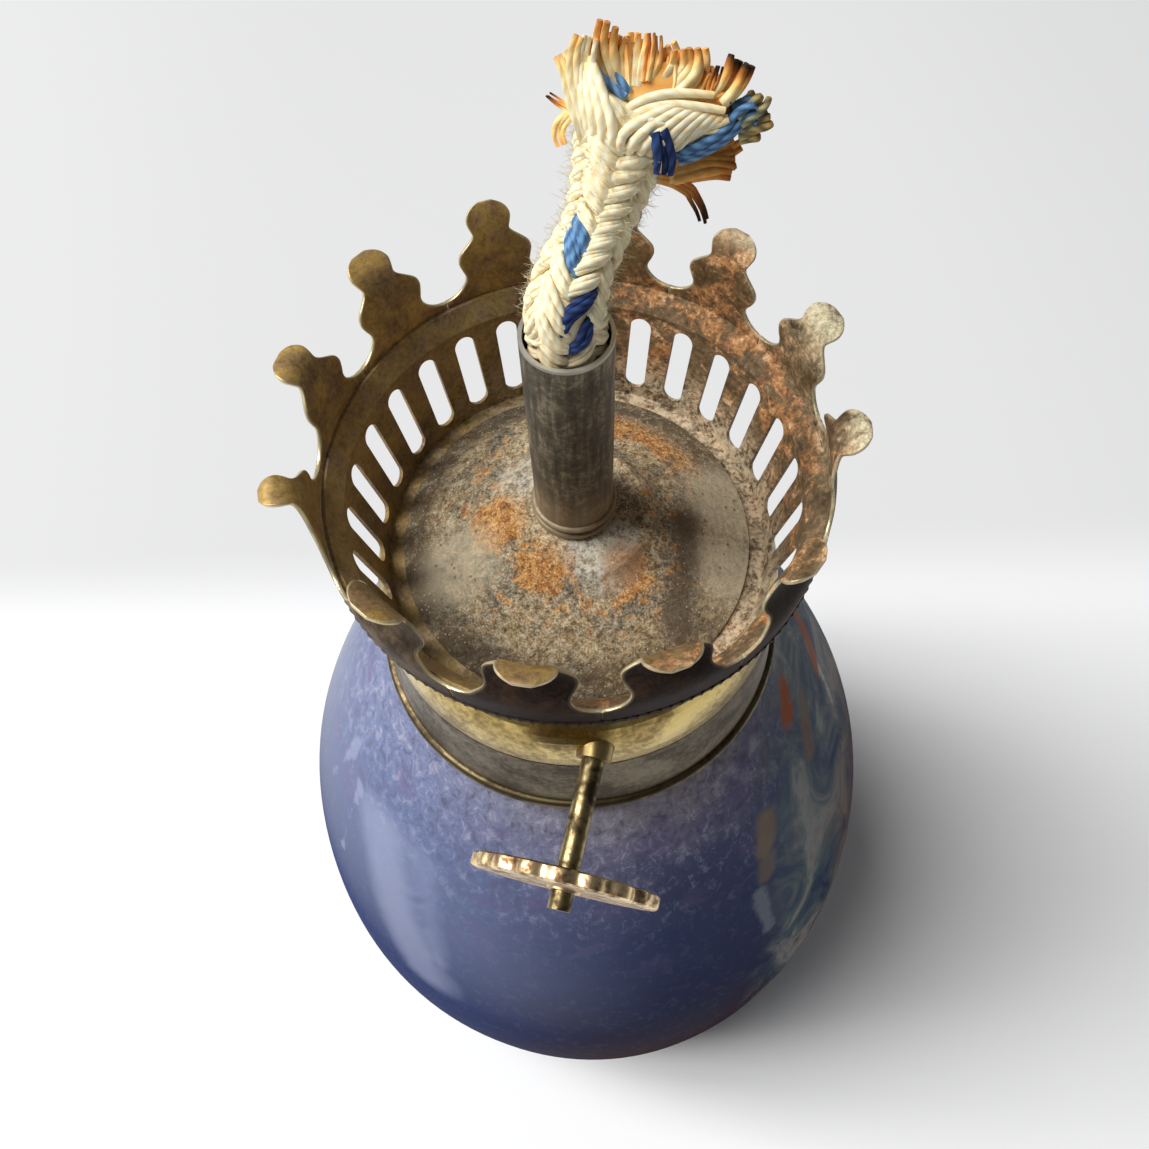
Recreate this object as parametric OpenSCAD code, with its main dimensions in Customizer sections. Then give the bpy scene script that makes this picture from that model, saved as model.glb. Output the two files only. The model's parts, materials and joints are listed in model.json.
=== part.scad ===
// Ceramic table oil lamp: a round glazed font with a brass screw collar, and a
// lift-out burner with a slotted gallery, a crown of trefoil prongs, a round
// wick in a tall tube and a side spindle that winds the wick up and down.
// Millimetres, +Z up. The origin is the centre of the foot, on the table.
// Azimuths are degrees clockwise from the back (+Y), seen from above.

/* [Pot] */
// Height of the glazed pot up to the edge under the collar
pot_h = 152; // [130:1:190]
// Radius of the pot at its widest ring
belly_r = 59; // [52:0.5:75]
// Height of the widest ring above the table
belly_z = 43; // [34:1:60]
// Radius of the flat foot
foot_r = 40; // [30:1:46]
// Height of the turned foot
foot_h = 2.5; // [1:0.5:5]
// Thickness of the pot's side
pot_wall = 5; // [3:0.5:7]
// Thickness of the pot's floor
pot_floor = 8; // [5:0.5:12]
// Height of the neck that stands up inside the collar
neck_h = 5.5; // [3:0.5:6.5]
// Thickness of that neck
neck_wall = 3.9; // [3:0.1:6]

/* [Collar] */
// Height of the brass collar
collar_h = 14.5; // [12:0.5:20]
// Width of the flat ring on the collar's top, round the screw
collar_land = 1.95; // [1.8:0.05:3]
// How much wider the collar is at its bottom, in radius
collar_flare = 1.4; // [1:0.1:2.4]
// Radius of the rolled bead round the collar's bottom edge
bead_r = 0.8; // [0.5:0.1:1.2]
// Sheet thickness of the collar
collar_wall = 0.6; // [0.4:0.1:0.8]
// Radius inside the collar's screw ring, which the burner's sizes follow
thread_r = 24.95; // [22:0.05:28]
// Height of the collar's screw ring
thread_h = 8; // [6:0.5:8.5]
// Running gap between the collar's ring and the burner's
thread_gap = 0.1; // [0.05:0.01:0.15]

/* [Burner body] */
// Sheet thickness of the burner's pieces
sheet = 0.45; // [0.3:0.05:0.6]
// Gap left in a soldered or crimped seat
seat_gap = 0.05; // [0.02:0.01:0.08]
// Height of the bright shoulder from the collar to the gallery's floor
shoulder_h = 9.4; // [8:0.1:12]
// How much narrower the shoulder is at its top, in radius
shoulder_taper = 3.3; // [2.4:0.1:3.6]
// Width of the ledge at the shoulder's top
ledge_w = 2; // [1.4:0.1:2.4]
// Length of the burner's screw skirt
skirt_h = 7.5; // [5:0.5:8]

/* [Gallery] */
// Step from the shoulder's top out to the inside of the slotted wall, in radius
basket_step = 0.4; // [0.2:0.1:0.8]
// How far the slotted wall leans out over its height
basket_flare = 2.6; // [2:0.1:3]
// Height of the slotted wall
basket_h = 13.4; // [12.6:0.1:15]
// Height of the straight seat that takes the chimney glass
rim_h = 0.8; // [0.5:0.1:1.4]
// Height of the flared lip that runs out to the crown
lip_h = 2.4; // [1.5:0.1:2.8]
// Number of air slots
slot_n = 28; // [12:1:32]
// Azimuth of the first slot
slot_az = 330; // [0:1:359]
// Width of a slot
slot_w = 2.8; // [1.2:0.1:3]
// Length of a slot, over its round ends
slot_len = 11.4; // [6:0.1:11.8]
// Height of the slots' middle above the gallery's floor
slot_rise = 7.4; // [6.8:0.1:7.6]
// Width of the gallery's floor ring inside the slotted wall
floor_ring_w = 3.4; // [3:0.1:4.4]

/* [Crown] */
// Gap from the seat out to the crown's milled lower edge, in radius
crown_step = 2.5; // [2:0.1:3]
// How much wider the crown is between its prongs than at its lower edge, in radius
crown_flare = 0.2; // [0:0.1:1]
// Height of the crown's band up to the gaps between the prongs
crown_h = 4.05; // [3.5:0.05:6]
// Height of the crown's lower edge above the deck's centre
crown_lift = 4.55; // [4:0.05:5.5]
// Length of a prong from the gaps up
prong_len = 10.4; // [8:0.5:15]
// Width of a prong over its two side lobes
prong_w = 10; // [7:0.1:11.5]
// Width of the round lobe at a prong's tip
tip_w = 6.4; // [4:0.1:8]
// Sheet thickness of the crown
crown_wall = 0.5; // [0.4:0.05:0.7]

/* [Deck and wick tube] */
// Gap from the domed deck out to the slotted wall
deck_inset = 2; // [1.4:0.1:2.6]
// Height of the dome from its edge to its hole
dome_h = 8; // [6:0.1:9]
// Radius of the pressed ring on the dome
ridge_r = 9; // [8:0.1:11]
// Height of the pressed ring
ridge_h = 0.5; // [0.2:0.05:1]
// Outer radius of the wick tube
tube_r = 4.6; // [4.4:0.05:5]
// Wall of the wick tube
tube_wall = 0.4; // [0.3:0.05:0.6]
// Height of the tube above the deck's centre
tube_h = 31.4; // [20:0.1:45]
// Length of the tube below the deck's centre
tube_drop = 34; // [25:0.5:45]
// Radius of the tube's two small ring beads
tube_bead_r = 0.45; // [0.3:0.05:0.6]

/* [Winder] */
// Distance from the tube's axis to the spindle's axis
shaft_off = 8.4; // [8:0.1:9.5]
// Angle of the spindle, turned clockwise from straight ahead
shaft_turn = 16; // [0:1:30]
// Depth of the spindle's axis below the deck's centre
shaft_drop = 11.3; // [11:0.1:11.8]
// Slope of the spindle, down toward the thumb wheel
shaft_slope = 6; // [0:0.5:8]
// Radius of the spindle
shaft_r = 1.4; // [1.1:0.05:1.5]
// Running gap round the spindle
shaft_gap = 0.06; // [0.04:0.01:0.1]
// Distance of the thumb wheel along the spindle
wheel_s = 40.8; // [34:0.5:60]
// Radius of the thumb wheel
wheel_r = 11.25; // [8:0.25:16]
// Thickness of the thumb wheel
wheel_t = 1.8; // [1:0.1:3]
// Number of scallops on the thumb wheel's rim
scallop_n = 18; // [10:1:22]
// Depth of a scallop
scallop_d = 0.55; // [0.2:0.05:0.8]
// Radius of the thumb wheel's small hub
hub_r = 2.1; // [1.8:0.1:3]
// Length of spindle that stands out past the thumb wheel
stub = 2.4; // [0.5:0.1:4]
// Radius over the teeth of a star wheel
star_r = 5.2; // [4.9:0.05:5.3]
// Depth of the teeth of a star wheel
tooth_d = 1.3; // [0.8:0.1:1.8]
// Number of teeth on a star wheel
tooth_n = 11; // [8:1:14]
// Thickness of a star wheel
star_t = 0.8; // [0.5:0.05:1]
// Distance between the two star wheels
star_gap = 3.8; // [3.2:0.1:4.2]
// Half the width between the cheeks of the star wheels' box
cheek_s = 3.6; // [3.3:0.05:3.8]

/* [Wick] */
// Gap between the wick and the tube
wick_gap = 0.2; // [0.15:0.05:0.4]
// Height of the wick's lower end above the table
wick_low = 34; // [20:1:60]
// Straight length of wick above the tube, before it leans over
wick_straight = 2.8; // [2.6:0.1:5]
// Width of the frayed head over its plain radius
head_spread = 1.95; // [1:0.05:2.4]
// How far the wick can be wound up
wick_up = 20; // [5:1:30]
// How far the wick can be wound down
wick_down = 1.5; // [0.5:0.1:2]
// Gap between the star wheels' teeth and the flat they press in the wick
bite_gap = 0.25; // [0.15:0.05:0.4]

/* [Hidden] */

// Radii of the rings, each from the screw's
neck_r = thread_r + 0.45;
neck_bore_r = neck_r - neck_wall;
collar_top_r = thread_r + collar_land;
collar_low_r = collar_top_r + collar_flare;
mouth_r = collar_low_r - bead_r;
shoulder_top_r = collar_top_r - shoulder_taper;
ledge_r = shoulder_top_r - ledge_w;
basket_low_r = shoulder_top_r + basket_step;
chimney_r = basket_low_r + basket_flare;
floor_ring_r = basket_low_r - floor_ring_w;
crown_low_r = chimney_r + crown_step;
crown_top_r = crown_low_r + crown_flare;
deck_r = basket_low_r - deck_inset;

// Heights of the seats, each from the piece below it
collar_top = pot_h + collar_h;
floor_z = collar_top + seat_gap + sheet;
ledge_z = collar_top + seat_gap + shoulder_h;
basket_z = ledge_z + seat_gap;
deck_edge = basket_z + sheet + seat_gap;
deck_z = deck_edge + sheet + dome_h;
shaft_z = deck_z - shaft_drop;
rim_z = basket_z + basket_h;
rim_top = rim_z + rim_h;
lip_z = rim_top + lip_h;
crown_z = deck_z + crown_lift;
crown_top = crown_z + crown_h;
tube_top = deck_z + tube_h;
bore_r = tube_r - tube_wall;
wick_r = bore_r - wick_gap;
wick_flat = shaft_off - star_r - bite_gap;
bush_r = shaft_r + shaft_gap + 0.7;
bush_s = 19;
bush_len = sqrt(collar_top_r * collar_top_r - shaft_off * shaft_off) + 0.8 - bush_s;
box_far = shaft_off + star_r + 0.6;
lean = atan(basket_flare / basket_h);
crown_lean = atan(crown_flare / crown_h);
lip_r = crown_low_r - crown_wall + crown_flare * (lip_z - crown_z) / crown_h - seat_gap;

// The prongs, bent by hand: azimuth, lean at the root, curl out over the tip,
// length as a share of prong_len, how far the tip is turned aside, the share of
// the length where the curl starts, and the width of the lobes as a share
prongs = [[13, 3, 40, 1.03, 0, 0.45, 0.9], [40.5, -1, 65, 1.03, 0, 0.45, 0.92],
    [66.5, 4, 90, 0.96, 0, 0.45, 0.88], [94.5, -19, 98, 1.06, 2, 0.38, 0.9],
    [128.5, -29, 112, 1.03, 0, 0.4, 1], [162, -35, 130, 1, 0, 0.4, 1],
    [191, -35, 130, 1, 0, 0.4, 1], [224.5, -29, 110, 1.06, 0, 0.4, 1.08],
    [259, 1, 130, 0.95, 0, 0.45, 0.62], [288.2, 7, 100, 1, 0, 0.45, 0.85],
    [315.5, 11, 65, 1.05, 0, 0.45, 0.9], [343.7, 7, 34, 1.04, 0, 0.45, 0.88]];

// Outline of a prong: share of its length, share of its half width
lobes = [[-0.05, 1.3], [0, 1.22], [0.05, 1.03], [0.13, 0.9], [0.24, 0.86], [0.34, 0.92],
    [0.42, 1], [0.5, 0.98], [0.57, 0.82], [0.63, 0.58]];
tip_lobes = [[0.68, 0.78], [0.74, 0.9], [0.82, 1], [0.9, 0.93], [0.96, 0.68], [1, 0.24]];

// Middle line of the wick above its straight part: sideways, back and up, in
// quarters of the wick's radius
wick_path = [[0, 0, 0], [0.15, 0.5, 1], [0.7, 2.3, 2.6], [2.1, 4.8, 4.6], [3.9, 7, 6.8],
    [5.3, 8.6, 9], [6.3, 9.6, 11.2], [7.4, 10.2, 13.2], [8.2, 10.6, 15], [8.4, 10.9, 16.6],
    [8.5, 11.1, 17.6]];
// Half width and half depth of the wick along that line, as shares of wick_r
wick_wide = [1, 1, 1, 1, 1.02, 1.08, 1.3, 1.65, 1.95, 1.9, 1.2];
wick_deep = [1, 1, 1, 1, 1, 1.04, 1.1, 1.15, 1.05, 0.8, 0.35];
// Loose ends of the fray: start, end and thickness, measured like wick_path
strands = [[[2.4, 10, 14.4], [-0.9, 10.2, 12.4], 0.55], [[6, 11, 16.4], [4.4, 11.8, 19.4], 0.9],
    [[8, 11, 16.4], [8, 12, 19.6], 0.9], [[10, 10.8, 16], [11.4, 11.6, 18.6], 0.8],
    [[12, 10.6, 15.4], [14.6, 11, 17.6], 0.6], [[13, 10.4, 14.6], [16.4, 10, 14.8], 0.8],
    [[11.4, 9.6, 13], [13.6, 8.2, 11.8], 1]];

function mix(a, b, t) = a + (b - a) * t;

// Side of the pot: one curve up from the widest ring, one down to the foot
function pot_side(z, zb, rb, z0, r0, z1, r1) = z > zb
    ? r1 + (rb - r1) * pow(max(0, 1 - pow((z - zb) / (z1 - zb), 2.5)), 1.1)
    : r0 + (rb - r0) * sqrt(max(0, 1 - pow((zb - z) / (zb - z0), 2)));

function pot_line(n, zb, rb, z0, r0, z1, r1) = [for (i = [0:n])
    let (t = i / n, z = mix(z0, z1, t < 0.3 ? t * t / 0.3 : t))
    [pot_side(z, zb, rb, z0, r0, z1, r1), z]];

function flip(list) = [for (i = [len(list) - 1:-1:0]) list[i]];

// Side of the shoulder: a quarter of an ellipse between its foot and its top
function shoulder_line(r0, z0, r1, z1) = [for (a = [0:10:90])
    [mix(r1, r0, cos(a)), mix(z0, z1, sin(a))]];

// Top face of the dome with its pressed ring, at radius r
function dome_top(r) = let (t = (r - tube_r) / (deck_r - tube_r))
    deck_z - dome_h * pow(t, 1.25)
    + ridge_h * exp(-pow((r - ridge_r) / 0.7, 2))
    - ridge_h * 0.6 * exp(-pow((r - ridge_r - 2.4) / 1.1, 2));

module at_az(a) {
    rotate([0, 0, -a]) children();
}

// Level frame beside the tube: x away from the tube, y up, z out to the front
module beside_tube() {
    translate([shaft_off * cos(shaft_turn), -shaft_off * sin(shaft_turn), shaft_z])
        rotate([0, 0, -shaft_turn]) rotate([90, 0, 0]) children();
}

// The same frame sloped with the spindle, at distance s along it
module on_shaft(s) {
    beside_tube() rotate([shaft_slope, 0, 0]) translate([0, 0, s]) children();
}

// The hollow glazed pot with its short neck
module font() {
    outer = pot_line(30, belly_z, belly_r, foot_h, foot_r, pot_h, mouth_r);
    inner = pot_line(24, belly_z, belly_r - pot_wall, pot_floor, foot_r - pot_wall,
        pot_h - pot_wall * 0.8, neck_bore_r);
    color("#4a5488") rotate_extrude($fn = 96) polygon(concat(
        [[0, 0], [foot_r - 1, 0], [foot_r, 1]], outer,
        [[neck_r, pot_h], [neck_r, pot_h + neck_h], [neck_bore_r, pot_h + neck_h]],
        flip(inner), [[0, pot_floor]]));
}

// The brass collar: an outer skirt, a flat top and a screw ring inside
module collar() {
    inside = collar_low_r - collar_wall;
    color("#6b5636") union() {
        rotate_extrude($fn = 96) polygon([
            [thread_r, collar_top - thread_h], [thread_r + collar_wall, collar_top - thread_h],
            [thread_r + collar_wall, collar_top - collar_wall],
            [collar_top_r - collar_wall, collar_top - collar_wall],
            [inside, pot_h + bead_r], [collar_low_r, pot_h + bead_r],
            [collar_top_r, collar_top - 0.4], [collar_top_r - 0.3, collar_top],
            [thread_r, collar_top]]);
        translate([0, 0, pot_h + bead_r]) rotate_extrude($fn = 96)
            translate([collar_low_r, 0]) circle(r = bead_r, $fn = 24);
    }
}

// The plaster that sets the collar on the neck and shows as a thin line below it
module collar_cement() {
    out = collar_low_r - collar_wall - seat_gap;
    color("#a07c45") difference() {
        rotate_extrude($fn = 96) polygon([
            [neck_r + seat_gap, pot_h + seat_gap], [collar_low_r - bead_r - 0.1, pot_h + seat_gap],
            [out - 0.25, pot_h + bead_r], [out - 0.7, pot_h + neck_h],
            [neck_r + seat_gap, pot_h + neck_h]]);
        translate([0, 0, pot_h + bead_r]) rotate_extrude($fn = 96)
            translate([collar_low_r, 0]) circle(r = bead_r + seat_gap, $fn = 24);
    }
}

// The burner's screw ring with the flange that carries the chamber floor
module screw_skirt() {
    out = thread_r - thread_gap;
    color("#a58a4c") rotate_extrude($fn = 96) polygon([
        [out - sheet, floor_z - sheet - skirt_h], [out, floor_z - sheet - skirt_h],
        [out, floor_z], [out - 3, floor_z], [out - 3, floor_z - sheet],
        [out - sheet, floor_z - sheet]]);
}

// The disc that closes the air chamber, with the hole for the wick tube
module chamber_floor() {
    low = floor_z + seat_gap;
    color("#8d7442") rotate_extrude($fn = 96) polygon([
        [tube_r + seat_gap, low - 1.6], [tube_r + seat_gap + sheet, low - 1.6],
        [tube_r + seat_gap + sheet, low], [collar_top_r - sheet - 0.15, low],
        [collar_top_r - sheet - 0.15, low + sheet], [tube_r + seat_gap, low + sheet]]);
}

// The bright spun shoulder that stands on the collar and carries the gallery
module burner_shoulder() {
    foot = collar_top + seat_gap;
    color("#c9a94f") difference() {
        rotate_extrude($fn = 96) polygon(concat(
            [[thread_r + seat_gap, foot], [collar_top_r, foot]],
            shoulder_line(collar_top_r, foot + 0.5, shoulder_top_r, ledge_z),
            [[ledge_r, ledge_z], [ledge_r, ledge_z - sheet]],
            flip(shoulder_line(collar_top_r - sheet, foot + 0.5, shoulder_top_r - sheet,
                ledge_z - sheet)),
            [[collar_top_r - sheet, foot + sheet], [thread_r + seat_gap, foot + sheet]]));
        on_shaft(bush_s - shaft_r) cylinder(r = bush_r + seat_gap, h = 2 * bush_len, $fn = 32);
    }
}

// The gallery: a floor ring, a leaning wall pierced by round-ended slots, the
// seat of the chimney glass and a flared lip that meets the crown
module slotted_basket() {
    mid = mix(basket_low_r, chimney_r, slot_rise / basket_h) + sheet / 2;
    color("#4f3b28") difference() {
        rotate_extrude($fn = 96) polygon([
            [floor_ring_r, basket_z], [basket_low_r + sheet, basket_z],
            [chimney_r + sheet, rim_z], [chimney_r + sheet, rim_top], [lip_r, lip_z],
            [lip_r - sheet, lip_z], [chimney_r, rim_top], [chimney_r, rim_z],
            [basket_low_r, basket_z + sheet], [floor_ring_r, basket_z + sheet]]);
        for (i = [0:slot_n - 1]) at_az(slot_az + i * 360 / slot_n)
            translate([0, mid, basket_z + slot_rise]) rotate([-lean, 0, 0]) slot_cut();
    }
}

module slot_cut() {
    run = slot_len - slot_w;
    deep = 8 * sheet;
    cube([slot_w, deep, run], center = true);
    for (e = [-1, 1]) translate([0, 0, e * run / 2])
        rotate([90, 0, 0]) cylinder(d = slot_w, h = deep, center = true, $fn = 24);
}

// The domed deck round the wick tube, with its pressed ring and its turned edge
module deck_plate() {
    top = [for (i = [0:28]) let (r = mix(tube_r + seat_gap, deck_r - 0.8, i / 28))
        [r, dome_top(r)]];
    under = [for (p = flip(top)) [p[0], p[1] - sheet]];
    color("#8f8071") rotate_extrude($fn = 96) polygon(concat(
        top, [[deck_r, deck_edge + sheet], [deck_r, deck_edge], [deck_r - 0.8, deck_edge]],
        [for (p = under) [p[0], max(p[1], deck_edge)]]));
}

// Lean of a prong at share t of its length
function prong_angle(p, t) = crown_lean + p[1] * min(1, max(0, t) * 4)
    + p[2] * pow(max(0, (t - p[5]) / (1 - p[5])), 1.3);

// Walk up the prong in short steps: radius and height at share t
function prong_walk(p, t) = t <= 0 ? [crown_top_r + t * prong_len * tan(crown_lean),
        crown_top + t * prong_len]
    : let (m = 24, step = t / m)
    [crown_top_r + prong_len * p[3] * step
        * add([for (i = [0:m - 1]) sin(prong_angle(p, (i + 0.5) * step))]),
    crown_top + prong_len * p[3] * step
        * add([for (i = [0:m - 1]) cos(prong_angle(p, (i + 0.5) * step))])];

function add(v, i = 0) = i >= len(v) ? 0 : v[i] + add(v, i + 1);

// One trefoil prong as a bent sheet: rows follow its outline, columns its width
module prong(p) {
    rows = concat([for (l = lobes) [l[0], l[1] * prong_w / 2]],
        [for (l = tip_lobes) [l[0], l[1] * tip_w / 2]]);
    nr = len(rows);
    cols = 6;
    inset = crown_wall * 0.08;
    grid = [for (side = [0, 1]) each [for (r = rows)
        let (q = prong_walk(p, r[0]), a = prong_angle(p, r[0]), root = r[0] < 0.02,
            turn = p[4] * pow(max(0, r[0]), 1.5),
            wide = r[1] * mix(1, p[6], min(1, max(0, r[0] / 0.3 - 1))),
            back = side * (root ? crown_wall - 2 * inset : crown_wall) + (root ? inset : 0))
        each [for (c = [0:cols])
            let (x = mix(-wide, wide, c / cols), b = x / crown_top_r * 180 / PI + turn,
                out = q[0] - back * cos(a) - crown_top_r * (1 - cos(b - turn)))
            [out * sin(turn) + crown_top_r * sin(b - turn) * cos(turn),
                out * cos(turn) - crown_top_r * sin(b - turn) * sin(turn),
                q[1] + back * sin(a)]]]];
    k = nr * (cols + 1);
    w = cols + 1;
    polyhedron(points = grid, faces = concat(
        [for (r = [0:nr - 2], c = [0:cols - 1]) each [
            [r * w + c, (r + 1) * w + c + 1, (r + 1) * w + c],
            [r * w + c, r * w + c + 1, (r + 1) * w + c + 1],
            [k + r * w + c, k + (r + 1) * w + c, k + (r + 1) * w + c + 1],
            [k + r * w + c, k + (r + 1) * w + c + 1, k + r * w + c + 1]]],
        [for (r = [0:nr - 2]) each [
            [r * w, (r + 1) * w, k + (r + 1) * w],
            [r * w, k + (r + 1) * w, k + r * w],
            [r * w + cols, k + (r + 1) * w + cols, (r + 1) * w + cols],
            [r * w + cols, k + r * w + cols, k + (r + 1) * w + cols]]],
        [for (c = [0:cols - 1]) each [
            [c, k + c + 1, c + 1],
            [c, k + c, k + c + 1],
            [(nr - 1) * w + c, (nr - 1) * w + c + 1, k + (nr - 1) * w + c + 1],
            [(nr - 1) * w + c, k + (nr - 1) * w + c + 1, k + (nr - 1) * w + c]]]));
}

// The crown: a leaning band with a milled lower edge and twelve bent prongs
module crown_ring() {
    color("#8a7440") union() {
        rotate_extrude($fn = 96) polygon([
            [crown_low_r - crown_wall, crown_z], [crown_low_r, crown_z],
            [crown_top_r, crown_top], [crown_top_r - crown_wall, crown_top]]);
        for (p = prongs) at_az(p[0]) prong(p);
    }
}

// The tall wick tube with two ring beads at the deck and a window for the stars
module wick_tube() {
    win = star_r + 0.4;
    color("#4d463f") union() {
        difference() {
            translate([0, 0, deck_z - tube_drop])
                cylinder(r = tube_r, h = tube_h + tube_drop, $fn = 64);
            translate([0, 0, deck_z - tube_drop - 1])
                cylinder(r = bore_r, h = tube_h + tube_drop + 2, $fn = 64);
            beside_tube() translate([1 - shaft_off, -win, -cheek_s + 0.4])
                cube([shaft_off, 2 * win, 2 * cheek_s - 0.8]);
        }
        for (h = [1.8, 4.9]) translate([0, 0, deck_z + h * tube_bead_r]) rotate_extrude($fn = 64)
            translate([tube_r, 0]) circle(r = tube_bead_r, $fn = 16);
    }
}

// The bent-up box beside the tube that carries the spindle round its star wheels
module wheel_box() {
    low = shaft_z - (floor_z + seat_gap + sheet) - seat_gap;
    high = star_r + 0.5;
    color("#8d7442") difference() {
        beside_tube() translate([-shaft_off + 2.2, -low, -cheek_s - sheet])
            cube([box_far - 2.2, low + high, 2 * (cheek_s + sheet)]);
        beside_tube() translate([-shaft_off + 1, -low - 1, -cheek_s])
            cube([box_far - 1 - sheet, low + high + 2, 2 * cheek_s]);
        translate([0, 0, deck_z - tube_drop]) cylinder(r = tube_r + seat_gap,
            h = tube_drop + 5, $fn = 64);
        on_shaft(-cheek_s - 2) cylinder(r = shaft_r + shaft_gap, h = 2 * cheek_s + 4, $fn = 32);
    }
}

// The sleeve that guides the spindle through the shoulder
module shaft_bushing() {
    color("#b3954a") on_shaft(bush_s) difference() {
        cylinder(r = bush_r, h = bush_len, $fn = 32);
        translate([0, 0, -1]) cylinder(r = shaft_r + shaft_gap, h = bush_len + 2, $fn = 32);
    }
}

// The spindle from its far cheek to the stub past the thumb wheel
module winder_shaft() {
    from = -cheek_s - sheet - 0.8;
    color("#a68b4b") on_shaft(from)
        cylinder(r = shaft_r, h = wheel_s + wheel_t / 2 + stub - from, $fn = 32);
}

// The thumb wheel: a flat disc with a scalloped rim and a small hub
module thumb_wheel() {
    notch = wheel_r * sin(180 / scallop_n) * 0.72;
    color("#a5793f") on_shaft(wheel_s - wheel_t / 2) difference() {
        union() {
            cylinder(r = wheel_r, h = wheel_t, $fn = 96);
            translate([0, 0, -0.5]) cylinder(r = hub_r, h = wheel_t + 0.8, $fn = 32);
        }
        for (i = [0:scallop_n - 1]) rotate([0, 0, i * 360 / scallop_n])
            translate([wheel_r + notch - scallop_d, 0, -wheel_t])
                cylinder(r = notch, h = 3 * wheel_t, $fn = 24);
        translate([0, 0, -wheel_t]) cylinder(r = shaft_r + 0.01, h = 3 * wheel_t, $fn = 32);
    }
}

// A star wheel that bites the wick through the tube's window
module star(s) {
    color("#8a6d3c") on_shaft(s - star_t / 2) difference() {
        linear_extrude(star_t) polygon([for (i = [0:2 * tooth_n - 1])
            let (r = i % 2 == 0 ? star_r : star_r - tooth_d, a = i * 180 / tooth_n)
            [r * cos(a), r * sin(a)]]);
        translate([0, 0, -1]) cylinder(r = shaft_r + 0.01, h = star_t + 2, $fn = 32);
    }
}

module star_wheel_near() {
    star(star_gap / 2);
}

module star_wheel_far() {
    star(-star_gap / 2);
}

// One ring of the wick: centre c, half width a, half depth b, tilted by lean t,
// with its side toward the star wheels pressed flat where flat is true
function wick_ring(c, a, b, t, flat) = [for (i = [0:19])
    let (x = a * cos(i * 18), y = b * sin(i * 18),
        n = x * cos(shaft_turn) - y * sin(shaft_turn),
        cut = flat ? max(0, n - wick_flat) : 0,
        px = x - cut * cos(shaft_turn), py = y + cut * sin(shaft_turn))
    c + [px, py * cos(t), -py * sin(t)]];

// Rings joined to a closed solid
module skin(rings) {
    n = len(rings[0]);
    m = len(rings);
    polyhedron(points = [for (r = rings) each r], faces = concat(
        [[for (i = [0:n - 1]) i]],
        [for (j = [0:m - 2], i = [0:n - 1]) each [
            [j * n + i, (j + 1) * n + i, (j + 1) * n + (i + 1) % n],
            [j * n + i, (j + 1) * n + (i + 1) % n, j * n + (i + 1) % n]]],
        [[for (i = [n - 1:-1:0]) (m - 1) * n + i]]));
}

// The round wick: tail in the font, flat stretch at the star wheels, leaning
// stem and frayed head
module wick() {
    start = tube_top + wick_straight;
    unit = wick_r / 4;
    flat_low = shaft_z - star_r - wick_up - 1;
    flat_high = shaft_z + star_r + wick_down + 1;
    spread = head_spread / 1.95;
    stem = [[wick_low, 0.8, false], [wick_low + 1, 1, false], [flat_low - 0.5, 1, false],
        [flat_low, 1, true], [flat_high, 1, true], [flat_high + 0.5, 1, false]];
    color("#8d8778") union() {
        skin(concat(
            [for (s = stem) wick_ring([0, 0, s[0]], s[1] * wick_r, s[1] * wick_r, 0, s[2])],
            [for (i = [0:len(wick_path) - 1])
                let (u = wick_path[max(0, i - 1)], v = wick_path[min(len(wick_path) - 1, i + 1)],
                    t = i == 0 ? 0 : atan2(v[1] - u[1], v[2] - u[2]),
                    w = i < 5 ? wick_wide[i] : mix(1, wick_wide[i], spread))
                wick_ring(wick_path[i] * unit + [0, 0, start], w * wick_r,
                    wick_deep[i] * wick_r, t, false)]));
        for (s = strands)
            strand(s[0] * unit + [0, 0, start], s[1] * unit + [0, 0, start], s[2] * unit);
    }
}

// A tapered loose end of the fray
module strand(a, b, r) {
    d = b - a;
    translate(a) rotate([0, atan2(norm([d[0], d[1]]), d[2]), atan2(d[1], d[0])])
        cylinder(r1 = r, r2 = r * 0.35, h = norm(d), $fn = 7);
}

font();
collar();
collar_cement();
screw_skirt();
chamber_floor();
burner_shoulder();
slotted_basket();
deck_plate();
crown_ring();
wick_tube();
wheel_box();
shaft_bushing();
winder_shaft();
thumb_wheel();
star_wheel_near();
star_wheel_far();
wick();
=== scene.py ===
# %% [markdown]
# An old oil lamp, one piece at a time. The maker of a lamp like this throws the pot on a
# wheel, sets a brass collar on its neck with plaster, and screws a burner of thin spun and
# stamped brass into it. This file dresses the measured parts of the lamp with their real
# finishes, and models again what plain solids can't show: the springy crown, the glaze and
# the braided wick with its scorched, frayed end.

# %% Load the measured lamp
import json
import math
import random

import bpy
from mathutils import Matrix, Vector


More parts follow.
